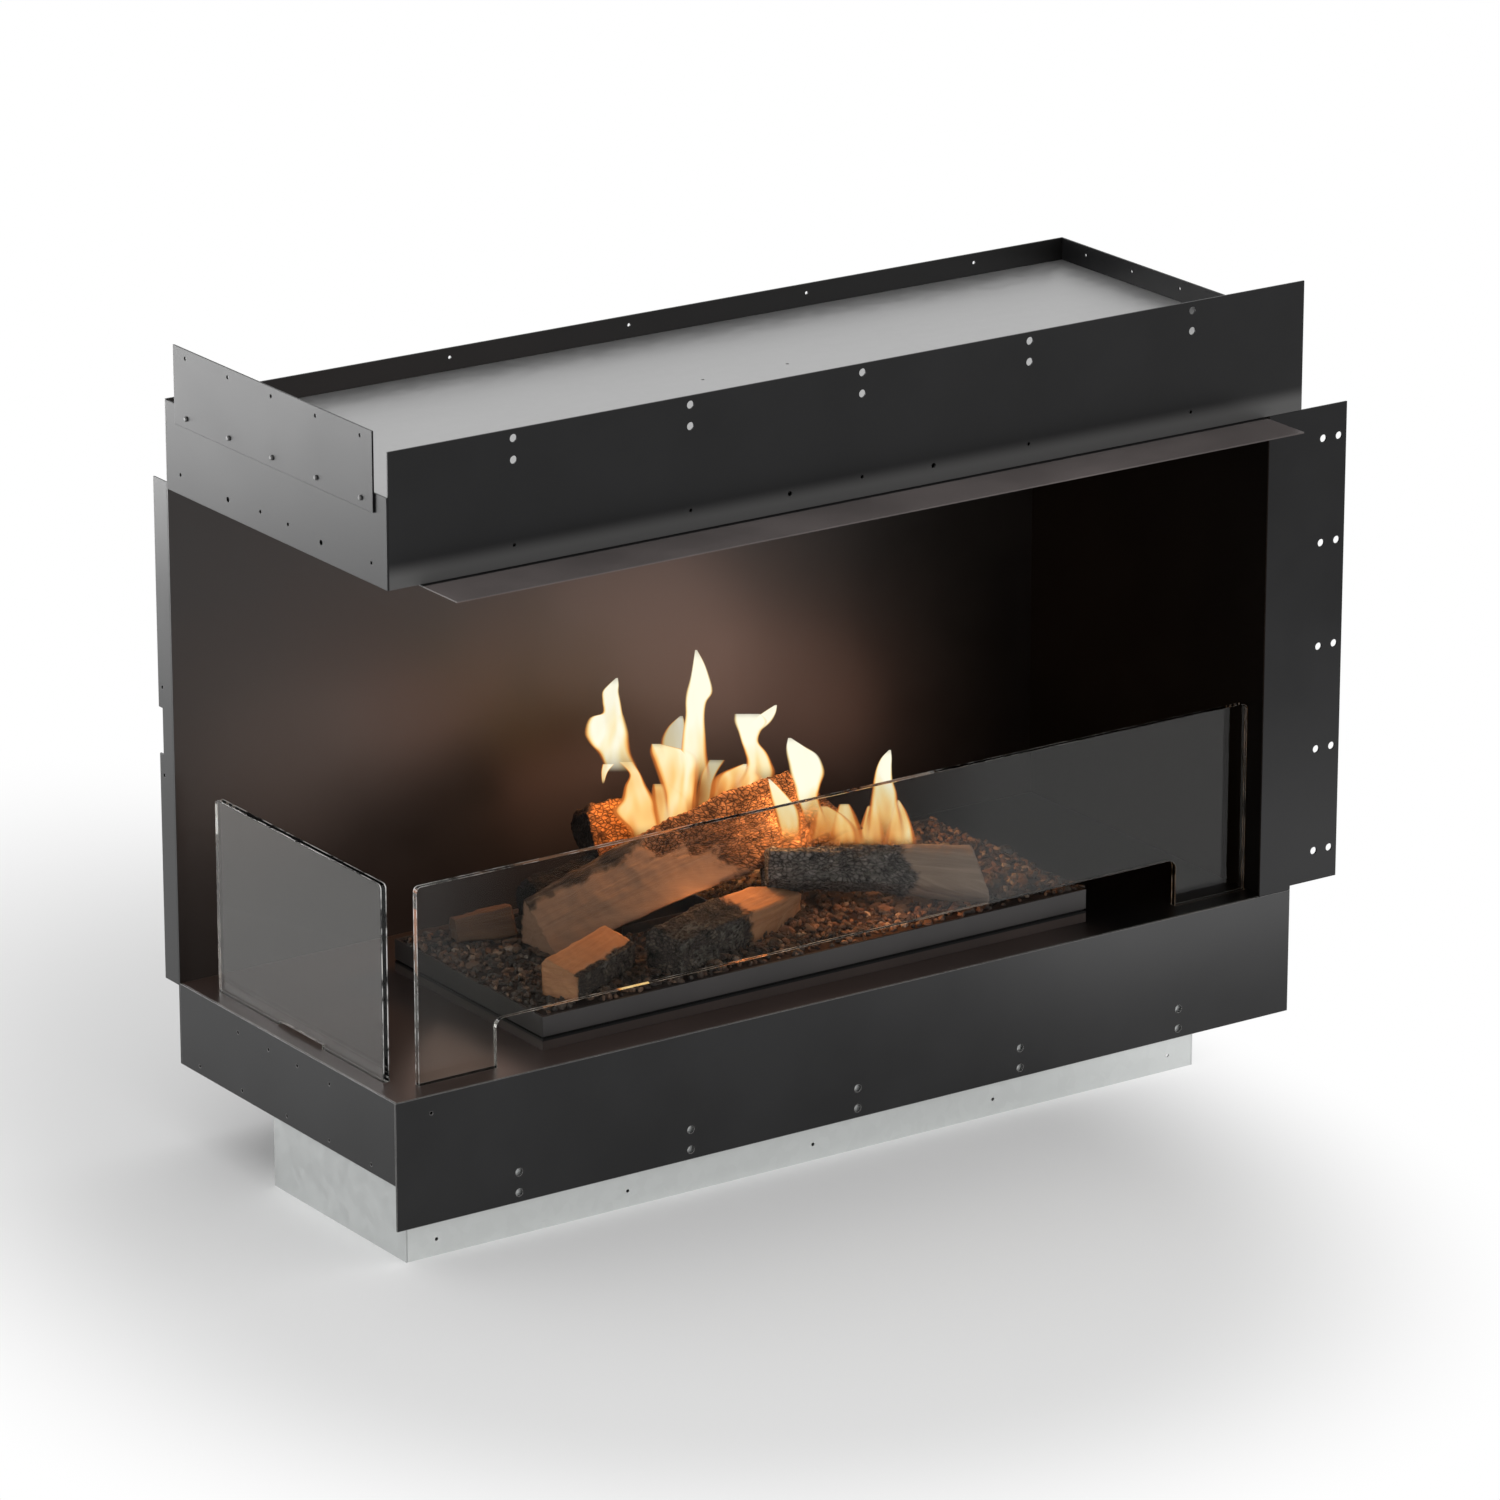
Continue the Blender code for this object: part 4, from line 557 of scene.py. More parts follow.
class Log:
    """One ceramic log: a spine, a split cross-section that changes along it, and zones of char and wood.

    Directions round a log are in degrees: 0 faces the front, 90 up, 180 the back and -90 down. sizes gives
    radii along it, cuts each split face as its direction and its share of the radius, and zones what the
    surface is: kind, start and end along the log, and from which to which direction unless all round.
    lean slants the far end.
    """

    def __init__(self, name, near, far, sizes, cuts, width=1.0, roll=0, bend=0.0, lean=0.0, zones=(),
                 faces=("wood", "wood"), seed=0, wood="brown", node=None):
        self.name, self.node, self.wood = name + "_relief", node or name, wood
        self.sizes, self.cuts, self.width, self.roll = sizes, cuts, width, roll
        self.near, self.far, self.bend, self.lean = place(near), place(far), bend, lean
        self.zones, self.faces = zones, faces
        self.offset = Vector((seed * 3.7, seed * 1.3, seed * 2.1))
        self.along = (self.far - self.near).normalized()
        self.side = self.along.cross(Vector((0, 0, 1))).normalized()
        self.top = self.side.cross(self.along)
        self.length = (self.far - self.near).length

    def reach(self, angle):
        """Share of the radius at which the split section ends, and how round it is there."""
        total = 1.0
        for direction, share in self.cuts:
            facing = cos(angle - radians(direction))
            if facing > 0:
                total += (facing / share) ** EDGE_SOFTNESS
        reached = total ** (-1 / EDGE_SOFTNESS)
        return reached, smooth(reached, 0.955, 0.99)

    def point(self, share, angle, inward):
        """A point of the plain surface, its outward direction, and how round the section is there."""
        reached, roundness = self.reach(angle)
        radius = along_table(self.sizes, share) * reached * inward
        wide, tall = radius * self.width * cos(angle), radius * sin(angle)
        turn = radians(self.roll)
        across = wide * cos(turn) - tall * sin(turn)
        up = wide * sin(turn) + tall * cos(turn)
        middle = self.near.lerp(self.far, share) + self.top * self.bend * sin(pi * share)
        outward = (self.side * cos(angle + turn) + self.top * sin(angle + turn)).normalized()
        slanted = self.along * up * self.lean * share
        return middle + self.side * across + self.top * up + slanted, outward, roundness

    def kinds(self, share, angle, roundness, spot):
        """How charred, how barky, how much pale ash and painted highlight, and how plainly split a point
        is.
        """
        facing = (degrees(angle) + self.roll + 180) % 360 - 180
        warp = noise.fractal(spot * WAVER_SCALE + self.offset, 0.6, 2.1, 4)
        here = share + warp * WAVER
        found = {"char": 0.0, "bark": roundness, "ash": 0.0, "wood": 0.0}
        for kind, start, end, *sides in self.zones:
            begun = 1.0 if start <= 0 else smooth(here, start - FADE_OUTSIDE, start + FADE_INSIDE)
            left = 1.0 if end >= 1 else 1 - smooth(here, end - FADE_INSIDE, end + FADE_OUTSIDE)
            inside = begun * left
            if sides:
                middle, half = sum(sides) / 2, (sides[1] - sides[0]) / 2
                gap = abs((facing + warp * WAVER_ROUND - middle + 180) % 360 - 180)
                inside *= 1 - smooth(gap, half - FADE_ROUND, half + FADE_ROUND)
            found[kind] = max(found[kind], inside)
        for kind in ("char", "bark"):
            found[kind] = max(0.0, found[kind] - found["wood"])
        return found

    def on_end(self, found, spot, inward, face):
        """What a point of a sawn or burnt end is, and its grain coordinates there."""
        offset = spot - (self.near if face < 0 else self.far)
        edge = smooth(inward, 0.90, 1.0)
        if self.faces[0 if face < 0 else 1] == "char":
            found = {"char": 1.0, "bark": 0.0, "ash": found["ash"] * edge}
        else:
            found = {"char": found["char"] * edge * 0.8, "bark": found["bark"] * edge, "ash": 0.0}
        return found, offset.dot(self.side), offset.dot(self.top)

    def wrapped(self, run, angle, along, around):
        """A place in a noise that closes round the log."""
        return Vector((run * along, cos(angle) * around, sin(angle) * around)) + self.offset

    def displaced(self, share, angle, inward=1.0, face=None):
        """A finished surface point with its relief, kinds and grain coordinates."""
        spot, outward, roundness = self.point(share, angle, inward)
        found = self.kinds(share, angle, roundness, spot)
        run = share * self.length
        round_place = angle * along_table(self.sizes, share)
        furrow = noise.fractal(self.wrapped(run, angle, *FURROW_SCALE) * FURROW_STRETCH, 0.7, 2.0, 4)
        splinter = noise.fractal(self.wrapped(run, angle, *SPLINTER_SCALE), 0.8, 2.2, 4)
        lumps = noise.fractal(spot * LUMP_SCALE + self.offset, 0.8, 2.0, 3)
        on_skin = Vector((run * CRACK_SCALE[0], round_place * CRACK_SCALE[1], 0.3))
        scales = noise.voronoi(on_skin + self.offset)[0]
        gap = min(1.0, (scales[1] - scales[0]) * 2.2)
        push = lumps * LUMP_DEPTH + splinter * SPLINTER_DEPTH
        push += found["bark"] * furrow * BARK_DEPTH
        push += found["char"] * ((gap - 0.75) * SCALE_DEPTH + lumps * CHAR_DEPTH)
        if face is not None:
            broken = noise.fractal(spot * BREAK_SCALE + self.offset, 0.7, 2.1, 4)
            spot = spot + self.along * (face * broken * BREAK_DEPTH)
            push *= inward ** 6
            found, run, round_place = self.on_end(found, spot, inward, face)
        # Pale ash and painted highlight on raised lumps along the scale borders
        ash = found["ash"] * (1 - smooth(gap, 0.10, 0.45)) * smooth(lumps, -0.3, 0.4)
        kind = (found["char"], found["bark"] * (1 - found["char"]), ash, 1.0)
        return spot + outward * push, kind, (run, round_place, 0.0)

    def build(self):
        """The log's closed mesh."""
        stations = max(12, round(self.length / LOG_STEP))
        made = bmesh.new()
        kind_layer = made.verts.layers.float_color.new("kind")
        grain_layer = made.verts.layers.float_vector.new("grain_place")

        def ring(share, **settings):
            points = []
            for i in range(LOG_AROUND):
                spot, kind, grain = self.displaced(share, 2 * pi / LOG_AROUND * i, **settings)
                point = made.verts.new(spot)
                point[kind_layer] = kind
                point[grain_layer] = grain
                points.append(point)
            return points

        rings = [ring(0.0, inward=inward, face=-1) for inward in CAP_RINGS]
        rings += [ring(station / stations) for station in range(stations + 1)]
        rings += [ring(1.0, inward=inward, face=1) for inward in reversed(CAP_RINGS)]
        skin(made, rings)
        bmesh.ops.recalc_face_normals(made, faces=made.faces)
        uv = made.loops.layers.uv.new("grain")
        wrap = 2 * pi * max(radius for _, radius in self.sizes)
        for face in made.faces:
            face.smooth = True
            highest = max(loop.vert[grain_layer][1] for loop in face.loops)
            for loop in face.loops:
                run, round_place, _ = loop.vert[grain_layer]
                if highest - round_place > wrap * 0.4:
                    round_place += wrap
                loop[uv].uv = (run, round_place)
        return finished_mesh(made, self.name)


# Each log stands for the node of its name, unless it names another
LOGS = (
    Log("split_log", (0.3198, 0.2265, 0.2445), (0.7177, 0.2397, 0.3150),
        sizes=((0.0, 0.0442), (0.4, 0.0500), (0.8, 0.0580), (1.0, 0.0560)),
        cuts=((41, 0.46), (-90, 0.42), (160, 0.50)), bend=0.009, lean=-0.65,
        zones=(("bark", 0.0, 0.55, 86, 215), ("char", 0.42, 1.0, 62, 240), ("char", 0.51, 1.0, 22, 66),
               ("char", 0.58, 1.0, -125, 26), ("wood", 0.0, 0.41, 50, 86), ("wood", 0.0, 0.48, 20, 56),
               ("wood", 0.0, 0.55, -60, 24)),
        faces=("wood", "char"), seed=1, wood="beige", node="main_split_log"),
    Log("rear_log", (0.4698, 0.2950, 0.3180), (0.4698, 0.3680, 0.2960),
        sizes=((0.0, 0.0372), (0.6, 0.0260), (1.0, 0.0095)),
        cuts=((0, 0.80), (90, 0.85), (180, 0.80), (-90, 0.85)), width=0.95,
        zones=(("char", 0.0, 1.0),), faces=("wood", "char"), seed=2, wood="ember"),
    Log("front_right_log", (0.5979, 0.1815, 0.2775), (0.8207, 0.0831, 0.2545),
        sizes=((0.0, 0.0245), (0.5, 0.0275), (0.85, 0.0335), (1.0, 0.0355)),
        cuts=((-60, 0.84), (120, 0.78), (15, 0.84)), roll=10, bend=0.004, lean=-0.4,
        zones=(("char", 0.0, 0.66), ("wood", 0.66, 1.0), ("ash", 0.05, 0.6, -40, 60)),
        faces=("char", "wood"), seed=3, wood="pale"),
    Log("front_left_log", (0.2572, 0.0750, 0.2475), (0.3693, 0.1320, 0.2470),
        sizes=((0.0, 0.0285), (1.0, 0.0275)),
        cuts=((70, 0.55), (-90, 0.70), (0, 0.78), (180, 0.80)), width=1.05,
        zones=(("char", 0.0, 1.0, -60, 38), ("ash", 0.0, 1.0, 0, 45), ("wood", 0.0, 1.0, 38, 150)),
        faces=("wood", "char"), seed=4, wood="orange"),
    Log("black_ended_log", (0.3970, 0.0840, 0.2480), (0.6285, 0.1725, 0.2380),
        sizes=((0.0, 0.0300), (0.4, 0.0355), (0.75, 0.0300), (1.0, 0.0160)),
        cuts=((74, 0.74), (-90, 0.70), (0, 0.76), (180, 0.8)),
        zones=(("char", 0.0, 0.55), ("wood", 0.52, 1.0), ("ash", 0.0, 0.5, -40, 80)),
        faces=("char", "wood"), seed=5, wood="orange"),
    Log("left_split_log", (0.2601, 0.2970, 0.2410), (0.3242, 0.2820, 0.2455),
        sizes=((0.0, 0.0170), (1.0, 0.0224)), cuts=((20, 0.60), (100, 0.70), (-90, 0.80)), width=1.05,
        zones=(("wood", 0.0, 1.0, -60, 140), ("char", 0.0, 1.0, 140, 300)), seed=6),
    Log("charred_log", (0.3606, 0.3000, 0.2500), (0.4916, 0.3030, 0.2552),
        sizes=((0.0, 0.0272), (1.0, 0.0333)), cuts=((-90, 0.85),),
        zones=(("char", 0.0, 1.0), ("ash", 0.6, 1.0, 60, 120)), faces=("char", "char"), seed=7),
)

# Woods: finish name, split wood, its dark grain, char, and how cracked the wood is
WOODS = {
    "beige": ("split_wood_beige", (0.36, 0.215, 0.140), (0.24, 0.137, 0.085), (0.21, 0.098, 0.046)),
    "orange": ("split_wood_orange", (0.55, 0.285, 0.145), (0.34, 0.150, 0.070), (0.075, 0.058, 0.048)),
    # The ember wood's orange is a painted glow of the fire behind the flames
    "ember": ("cracked_wood_orange", (0.40, 0.17, 0.055), (0.24, 0.09, 0.03), (0.030, 0.020, 0.015), 0.85),
    "pale": ("split_wood_pale", (0.43, 0.315, 0.245), (0.24, 0.167, 0.125), (0.140, 0.124, 0.118)),
    "brown": ("split_wood_brown", (0.13, 0.070, 0.038), (0.075, 0.038, 0.020), (0.020, 0.016, 0.014)),
}


def logs():
    """The seven ceramic logs, each over its plain solid."""
    finishes = {wood: log_finish(*colours) for wood, colours in WOODS.items()}
    for log in LOGS:
        link(log.name, log.build(), finishes[log.wood], "ceramic_log", log.node)


# Chips: how many stones, thin flakes and stones spilled on the rim, with their half lengths and flatness
CHIP_SHAPES = 9
PEBBLES = (3800, (0.0032, 0.0064), (0.55, 0.95))
FLAKES = (620, (0.0060, 0.0120), (0.28, 0.5))
SPILLED = 60
SPILLED_SIZE = (0.0030, 0.0062)
SPILLED_FLATNESS = 0.5
SPILLED_REACH = (0.001, 0.006)
SPILLED_LIFT = 0.35

# Their corners, widths, tilt and tones, and the part of a half length that stays in the tray or off a slot
CHIP_CORNERS = (0.72, 1.12)
CHIP_WIDTHS = (0.5, 0.85)
CHIP_TILT = 0.35
TONE_CURVE = 1.25
CHIP_INSET = 0.6
CHIP_CLEARANCE = 0.7

# How the chips heap round the bed's top, the block under them, and its room round the slots and the deck
HEAP_HEIGHT = 0.0022
HEAP_SCALE = 22
HEAP_SINK = 0.0015
HEAP_SPREAD = (-0.002, 0.0016)
BED_DROP = 0.003
SLOT_ROOM = 0.001
DECK_ROOM = 0.0006
BED_TONE = (0.2, 0.0, 0.0, 1.0)
BLOCK_FACES = ((3, 2, 1, 0), (4, 5, 6, 7), (0, 1, 5, 4), (1, 2, 6, 5), (2, 3, 7, 6), (3, 0, 4, 7))


def chip_shapes(dice):
    """A few broken shapes, each a lumpy twelve-cornered stone."""
    shapes = []
    for _ in range(CHIP_SHAPES):
        made = bmesh.new()
        bmesh.ops.create_icosphere(made, subdivisions=1, radius=1.0)
        for vert in made.verts:
            vert.co *= dice.uniform(*CHIP_CORNERS)
        corners = [vert.co.copy() for vert in made.verts]
        faces = [[vert.index for vert in face.verts] for face in made.faces]
        made.free()
        shapes.append((corners, faces))
    return shapes


class Heap:
    """Loose stones and the bed under them, gathered in one mesh with a tone at each point."""

    def __init__(self, dice, lowest):
        self.dice, self.lowest, self.shapes = dice, lowest, chip_shapes(dice)
        self.corners, self.faces, self.tones = [], [], []

    def drop(self, x, y, z, size, flat):
        """One stone at a place."""
        dice = self.dice
        shape, shape_faces = dice.choice(self.shapes)
        turn = Matrix.Rotation(dice.uniform(0, 6.28), 3, "Z")
        turn @= Matrix.Rotation(dice.gauss(0, CHIP_TILT), 3, "X")
        turn @= Matrix.Rotation(dice.gauss(0, CHIP_TILT), 3, "Y")
        scale = Vector((size, size * dice.uniform(*CHIP_WIDTHS), size * flat))
        tone = dice.random() ** TONE_CURVE
        start = len(self.corners)
        for corner in shape:
            spot = turn @ (corner * scale)
            self.corners.append((x + spot.x, y + spot.y, max(z + spot.z, self.lowest)))
            # Upper corners get a painted highlight of random strength
            self.tones.append((tone, max(0.0, corner.z) * dice.random(), 0.0, 1.0))
        self.faces.extend([start + index for index in face] for face in shape_faces)

    def block(self, start, end, bottom, top):
        """One box of the bed."""
        first = len(self.corners)
        for z in (bottom, top):
            self.corners += [(*start, z), (end[0], start[1], z), (*end, z), (start[0], end[1], z)]
        self.tones += [BED_TONE] * 8
        self.faces.extend([first + index for index in face] for face in BLOCK_FACES)

    def mesh(self, name):
        """The mesh of all of it."""
        made = bpy.data.meshes.new(name)
        made.from_pydata(self.corners, [], self.faces)
        layer = made.attributes.new("tone", "FLOAT_COLOR", "POINT")
        layer.data.foreach_set("color", [value for tone in self.tones for value in tone])
        made.update()
        return made


def bed_spans(low, high, slots):
    """The rectangles of the bed round the two slots."""
    (a_low, a_high), (b_low, b_high) = slots
    front, back = a_low.y - SLOT_ROOM, a_high.y + SLOT_ROOM
    return (((low.x, low.y), (high.x, front)), ((low.x, back), (high.x, high.y)),
            ((low.x, front), (a_low.x - SLOT_ROOM, back)),
            ((a_high.x + SLOT_ROOM, front), (b_low.x - SLOT_ROOM, back)),
            ((b_high.x + SLOT_ROOM, front), (high.x, back)))


def chips(finish):
    """A bed of loose chips that fills the tray, open over the two flame slots."""
    dice = random.Random(SEED)
    low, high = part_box("chip_bed")
    rim_low, rim_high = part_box("tray_rim")
    slots = [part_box("slot_collar_left"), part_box("slot_collar_right")]
    heap = Heap(dice, low.z + DECK_ROOM)

    def off_slots(x, y, room):
        return all(not (a.x - room < x < b.x + room and a.y - room < y < b.y + room) for a, b in slots)

    for count, sizes, flatness in (PEBBLES, FLAKES):
        for _ in range(count):
            size = dice.uniform(*sizes)
            inset = size * CHIP_INSET
            x = dice.uniform(low.x + inset, high.x - inset)
            y = dice.uniform(low.y + inset, high.y - inset)
            if off_slots(x, y, size * CHIP_CLEARANCE):
                swell = noise.fractal(Vector((x, y, 0)) * HEAP_SCALE, 0.8, 2.0, 3) * HEAP_HEIGHT
                z = high.z - HEAP_SINK + swell + dice.uniform(*HEAP_SPREAD)
                heap.drop(x, y, z, size, dice.uniform(*flatness))
    for _ in range(SPILLED):
        size = dice.uniform(*SPILLED_SIZE)
        left, right = rim_low.x + dice.uniform(*SPILLED_REACH), rim_high.x - dice.uniform(*SPILLED_REACH)
        x = dice.choice((left, right))
        heap.drop(x, dice.uniform(low.y, high.y), rim_high.z + size * SPILLED_LIFT, size, SPILLED_FLATNESS)
    for start, end in bed_spans(low, high, slots):
        heap.block(start, end, low.z, high.z - BED_DROP)
    link("loose_chips", heap.mesh("chips"), finish, "ceramic_chips", "chip_bed")


# Flames: how finely they are built, their depth as a share of their width, and the step between tongues
FLAME_AROUND = 20
FLAME_STEPS = 40
FLAME_THICKNESS = 0.40
FLAME_OVERLAP = 0.004

# Cover at a tongue's tip, the parts of its length over which tip and root fade, and how round its body is
TIP_COVER = 0.45
TIP_FADE = (0.0, 0.12)
ROOT_FADE = (0.70, 1.0)
BODY_CURVE = 1.7

# Name, distance behind the casing's front, and tongues: cover, then photo rows as height, left and right
FLAMES = (
    ("flame_left", 0.276, (
        (1.0, ((678, 616, 618), (685, 608, 619), (692, 602, 619), (702, 602, 621), (713, 602, 623),
               (718, 589, 625), (732, 584, 629), (742, 588, 630), (754, 598, 632), (766, 603, 638),
               (772, 602, 641))),
        (0.8, ((764, 602, 615), (772, 601, 608), (784, 602, 604))),
        (1.0, ((762, 618, 634), (774, 629, 641), (786, 624, 647), (800, 620, 656), (811, 611, 660),
               (822, 620, 662), (832, 628, 662), (846, 630, 650))),
    )),
    ("flame_middle", 0.28, (
        (1.0, ((650, 695, 697), (662, 693, 704), (678, 690, 710), (692, 686, 713), (702, 685, 707),
               (716, 685, 705), (734, 682, 706), (756, 680, 708), (772, 682, 711), (784, 684, 712))),
        (1.0, ((744, 651, 661), (752, 649, 692), (762, 652, 700), (776, 657, 700), (792, 662, 698),
               (806, 664, 698), (820, 666, 698))),
        (0.4, ((716, 680, 683), (726, 668, 686), (738, 661, 687), (750, 660, 688), (760, 664, 686))),
        (0.75, ((784, 652, 670), (800, 650, 690), (816, 650, 694), (836, 648, 690))),
        (0.35, ((760, 708, 726), (776, 700, 716), (796, 696, 712), (816, 696, 710))),
    )),
    ("flame_horned", 0.278, (
        (1.0, ((714, 734, 762), (722, 734, 768), (732, 738, 761), (742, 741, 759), (752, 744, 767),
               (762, 746, 772), (774, 742, 776), (790, 730, 770))),
        (1.0, ((705, 775, 777), (713, 762, 776), (722, 750, 771), (730, 745, 762))),
        (0.9, ((764, 742, 758), (772, 722, 760), (780, 711, 764), (792, 709, 748), (804, 708, 724))),
    )),
    ("flame_right", 0.172, (
        (1.0, ((738, 788, 791), (746, 786, 804), (754, 786, 817), (764, 788, 823), (774, 790, 825),
               (786, 794, 821), (798, 796, 819), (812, 800, 824), (826, 802, 830))),
        (1.0, ((779, 768, 770), (788, 769, 780), (798, 770, 790), (808, 772, 798), (820, 775, 801),
               (832, 778, 802), (844, 778, 800))),
        (0.75, ((806, 818, 828), (816, 812, 846), (830, 806, 860), (845, 798, 866))),
        (0.85, ((804, 838, 850), (814, 834, 856), (828, 830, 862), (845, 826, 868))),
    )),
    ("flame_far_right", 0.216, (
        (1.0, ((750, 889, 891), (758, 881, 892), (768, 876, 892), (780, 873, 893), (792, 871, 897),
               (804, 869, 899), (816, 866, 903), (830, 864, 906), (845, 862, 908))),
        (1.0, ((800, 896, 899), (810, 892, 906), (822, 888, 911), (834, 884, 915), (847, 880, 919))),
        (0.9, ((806, 867, 874), (816, 863, 880), (830, 858, 884), (846, 852, 888))),
    )),
)


def curve_point(points, share):
    """A point on the smooth curve through the given points."""
    place_on = share * (len(points) - 1)
    index = min(int(place_on), len(points) - 2)
    t = place_on - index
    before, start = points[max(index - 1, 0)], points[index]
    end, after = points[index + 1], points[min(index + 2, len(points) - 1)]
    return tuple(0.5 * (2 * b + (c - a) * t + (2 * a - 5 * b + 4 * c - d) * t * t
                        + (3 * b - a - 3 * c + d) * t ** 3)
                 for a, b, c, d in zip(before, start, end, after))


def seen_at(across, down, depth):
    """The point at a distance behind the casing's front that the photograph shows at a pixel."""
    scale = PHOTO_SIZE * CAMERA_LENS / CAMERA_SENSOR
    ray = Vector(((across - PHOTO_SIZE / 2) / scale, (PHOTO_SIZE / 2 - down) / scale, -1))
    ray.rotate(Euler((radians(90 - CAMERA_DOWN), 0, radians(CAMERA_TURN))))
    return CAMERA_PLACE + ray * ((depth - CAMERA_PLACE.y) / ray.y)


def tongue(made, layer, depth, cover, rows, root, crown):
    """One tongue of a flame. root and crown are the rows between which the whole flame stands."""
    rings = []
    for step in range(FLAME_STEPS + 1):
        share = step / FLAME_STEPS
        down, left, right = curve_point(rows, share)
        tip = TIP_COVER + (1 - TIP_COVER) * smooth(share, *TIP_FADE)
        shown = cover * tip * (1 - smooth(share, *ROOT_FADE))
        start = seen_at(left, down, depth)
        end = seen_at(max(right, left + 1), down, depth)
        middle, half = (start + end) / 2, (end - start) / 2
        belly = (middle - CAMERA_PLACE).normalized() * half.length * FLAME_THICKNESS
        ring = []
        for i in range(FLAME_AROUND):
            angle = 2 * pi * i / FLAME_AROUND
            vert = made.verts.new(place(middle + half * cos(angle) + belly * sin(angle)))
            body = 1 - abs(cos(angle)) ** BODY_CURVE
            vert[layer] = (body, (root - down) / (root - crown), shown, 1.0)
            ring.append(vert)
        rings.append(ring)
    skin(made, rings)


def flames():
    """Flames over the two burner slots, each of a few merging tongues."""
    finish = flame_finish("burning_fuel")
    for name, plane, tongues in FLAMES:
        made = bmesh.new()
        layer = made.verts.layers.float_color.new("fire")
        root = max(rows[-1][0] for _, rows in tongues)
        crown = min(rows[0][0] for _, rows in tongues)
        for number, (cover, rows) in enumerate(tongues):
            tongue(made, layer, plane + number * FLAME_OVERLAP, cover, rows, root, crown)
        bmesh.ops.recalc_face_normals(made, faces=made.faces)
        for face in made.faces:
            face.smooth = True
        link(name, finished_mesh(made, name), finish, "ceramic_fibre").visible_shadow = False


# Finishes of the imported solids

def dress():
    """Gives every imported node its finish, by its name or else by its slot."""
    outside = powder_coat("outer_powder_coat", (0.010, 0.010, 0.0105), gloss=0.2)
    # The hood's lower edge carries a painted reflection
    hood = powder_coat("hood_powder_coat", (0.010, 0.010, 0.0105), gloss=0.2,
                       painted_reflection_until=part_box("hood_front_plate")[0].z + REFLECTION_BAND_HEIGHT)
    # The skirt's edges carry a painted highlight
    skirt = powder_coat("skirt_powder_coat", (0.012, 0.012, 0.0125), gloss=0.34, rounding=WIDE_ROUNDING,
                        edge_glint=0.9)
    inside = powder_coat("heat_proof_coat", (0.003, 0.003, 0.003), 0.36, grain=0.004)
    tray = powder_coat("tray_coat", (0.0300, 0.0262, 0.0252), 0.36, rounding=TRAY_ROUNDING)
    screw = powder_coat("screw_coat", (0.085, 0.085, 0.085), 0.4)
    plinth = galvanised("plinth_zinc", (0.72, 0.74, 0.73), 0.42)
    pad = soft_mineral("dark_pad", (0.03, 0.03, 0.03))
    left_glass = pane_glass("toughened_glass_left", "left_glass", 0, (0.0, 0.365), (1.0, 0.365))
    by_slot = {
        "black_powder_coat": outside,
        "galvanised_steel": galvanised("cover_zinc", (0.415, 0.415, 0.415), 0.38),
        "stainless_steel": stainless("brushed_stainless"),
        "toughened_glass": left_glass,
        "ceramic_fibre": soft_mineral("white_fibre", (0.80, 0.80, 0.76)),
        "insulation_board": soft_mineral("pressed_mineral", (0.62, 0.60, 0.55)),
        **dict.fromkeys(("seat_pad", "ceramic_chips", "ceramic_log"), pad),
    }
    by_node = {
        "hood_front_plate": hood,
        # The ledge is paler and warmer than the black coat: partly its own paler coat, partly a painted
        # reflection and fire glow
        "board_ledge": powder_coat("ledge_powder_coat", (0.115, 0.099, 0.096), 0.4, gloss=0.2,
                                   rounding=LEDGE_ROUNDING, dark_from=SHADE_LINE_DEPTH),
        "back_left_flange": powder_coat("flange_powder_coat", (0.012, 0.012, 0.0125), gloss=0.42),
        "right_front_flange": powder_coat("right_flange_powder_coat", (0.009, 0.009, 0.0095), gloss=0.16),
        # The right liner is darkest and dull, as painted shade of the unlit right side
        "right_liner": powder_coat("painted_shade_liner_coat", (0.002, 0.002, 0.002), 0.45, gloss=0.06, grain=0.004),
        "hearth_plate": hearth_coat("hearth_coat"),
        "tray_foot": foot_coat("foot_coat"),
        # The plinth's left end is a darker copy of its zinc, as painted shade
        "plinth_left_end": galvanised("plinth_end_shaded_zinc", (0.52, 0.535, 0.53), 0.42),
        "front_glass": pane_glass("toughened_glass_front", "front_glass", 1, (0.07, 0.25), (0.19, 0.11),
                                  (0.60, 0.11), (0.80, 0.335)),
    }
    by_node |= dict.fromkeys(("skirt_front", "skirt_left"), skirt)
    by_node |= dict.fromkeys(("back_wall", "ceiling_plate", "base_plate"), inside)
    by_node |= dict.fromkeys(("tray_rim", "burner_deck", "tank_frame", "shutter_knob"), tray)
    by_node |= dict.fromkeys(("plinth_front", "plinth_back", "plinth_right_end"), plinth)
    by_node |= {name: screw for name in frame["nodes"] if name.startswith("hood_flange_screw")}
    slots = {entry["node"]: entry["material_slot"] for entry in frame["record"]["subparts"]}
    for name, node in frame["nodes"].items():
        node.data.materials.clear()
        node.data.materials.append(by_node.get(name, by_slot[slots[name]]))


# Stage

def seen_directly(tree):
    """1 for rays that show the background: straight from the camera, mirrored, or through glass."""
    path = add(tree, "LightPath")
    return maths(tree, "MAXIMUM", path.outputs["Is Camera Ray"],
                 maths(tree, "MAXIMUM", path.outputs["Is Glossy Ray"], path.outputs["Is Transmission Ray"]))


def off_middle(tree, place_of, middle, stretch):
    """Distance from the floor's middle along one axis, stretched on its far side."""
    offset = maths(tree, "SUBTRACT", place_of, middle)
    return maths(tree, "MAXIMUM", product(tree, offset, stretch), product(tree, offset, -1.0))


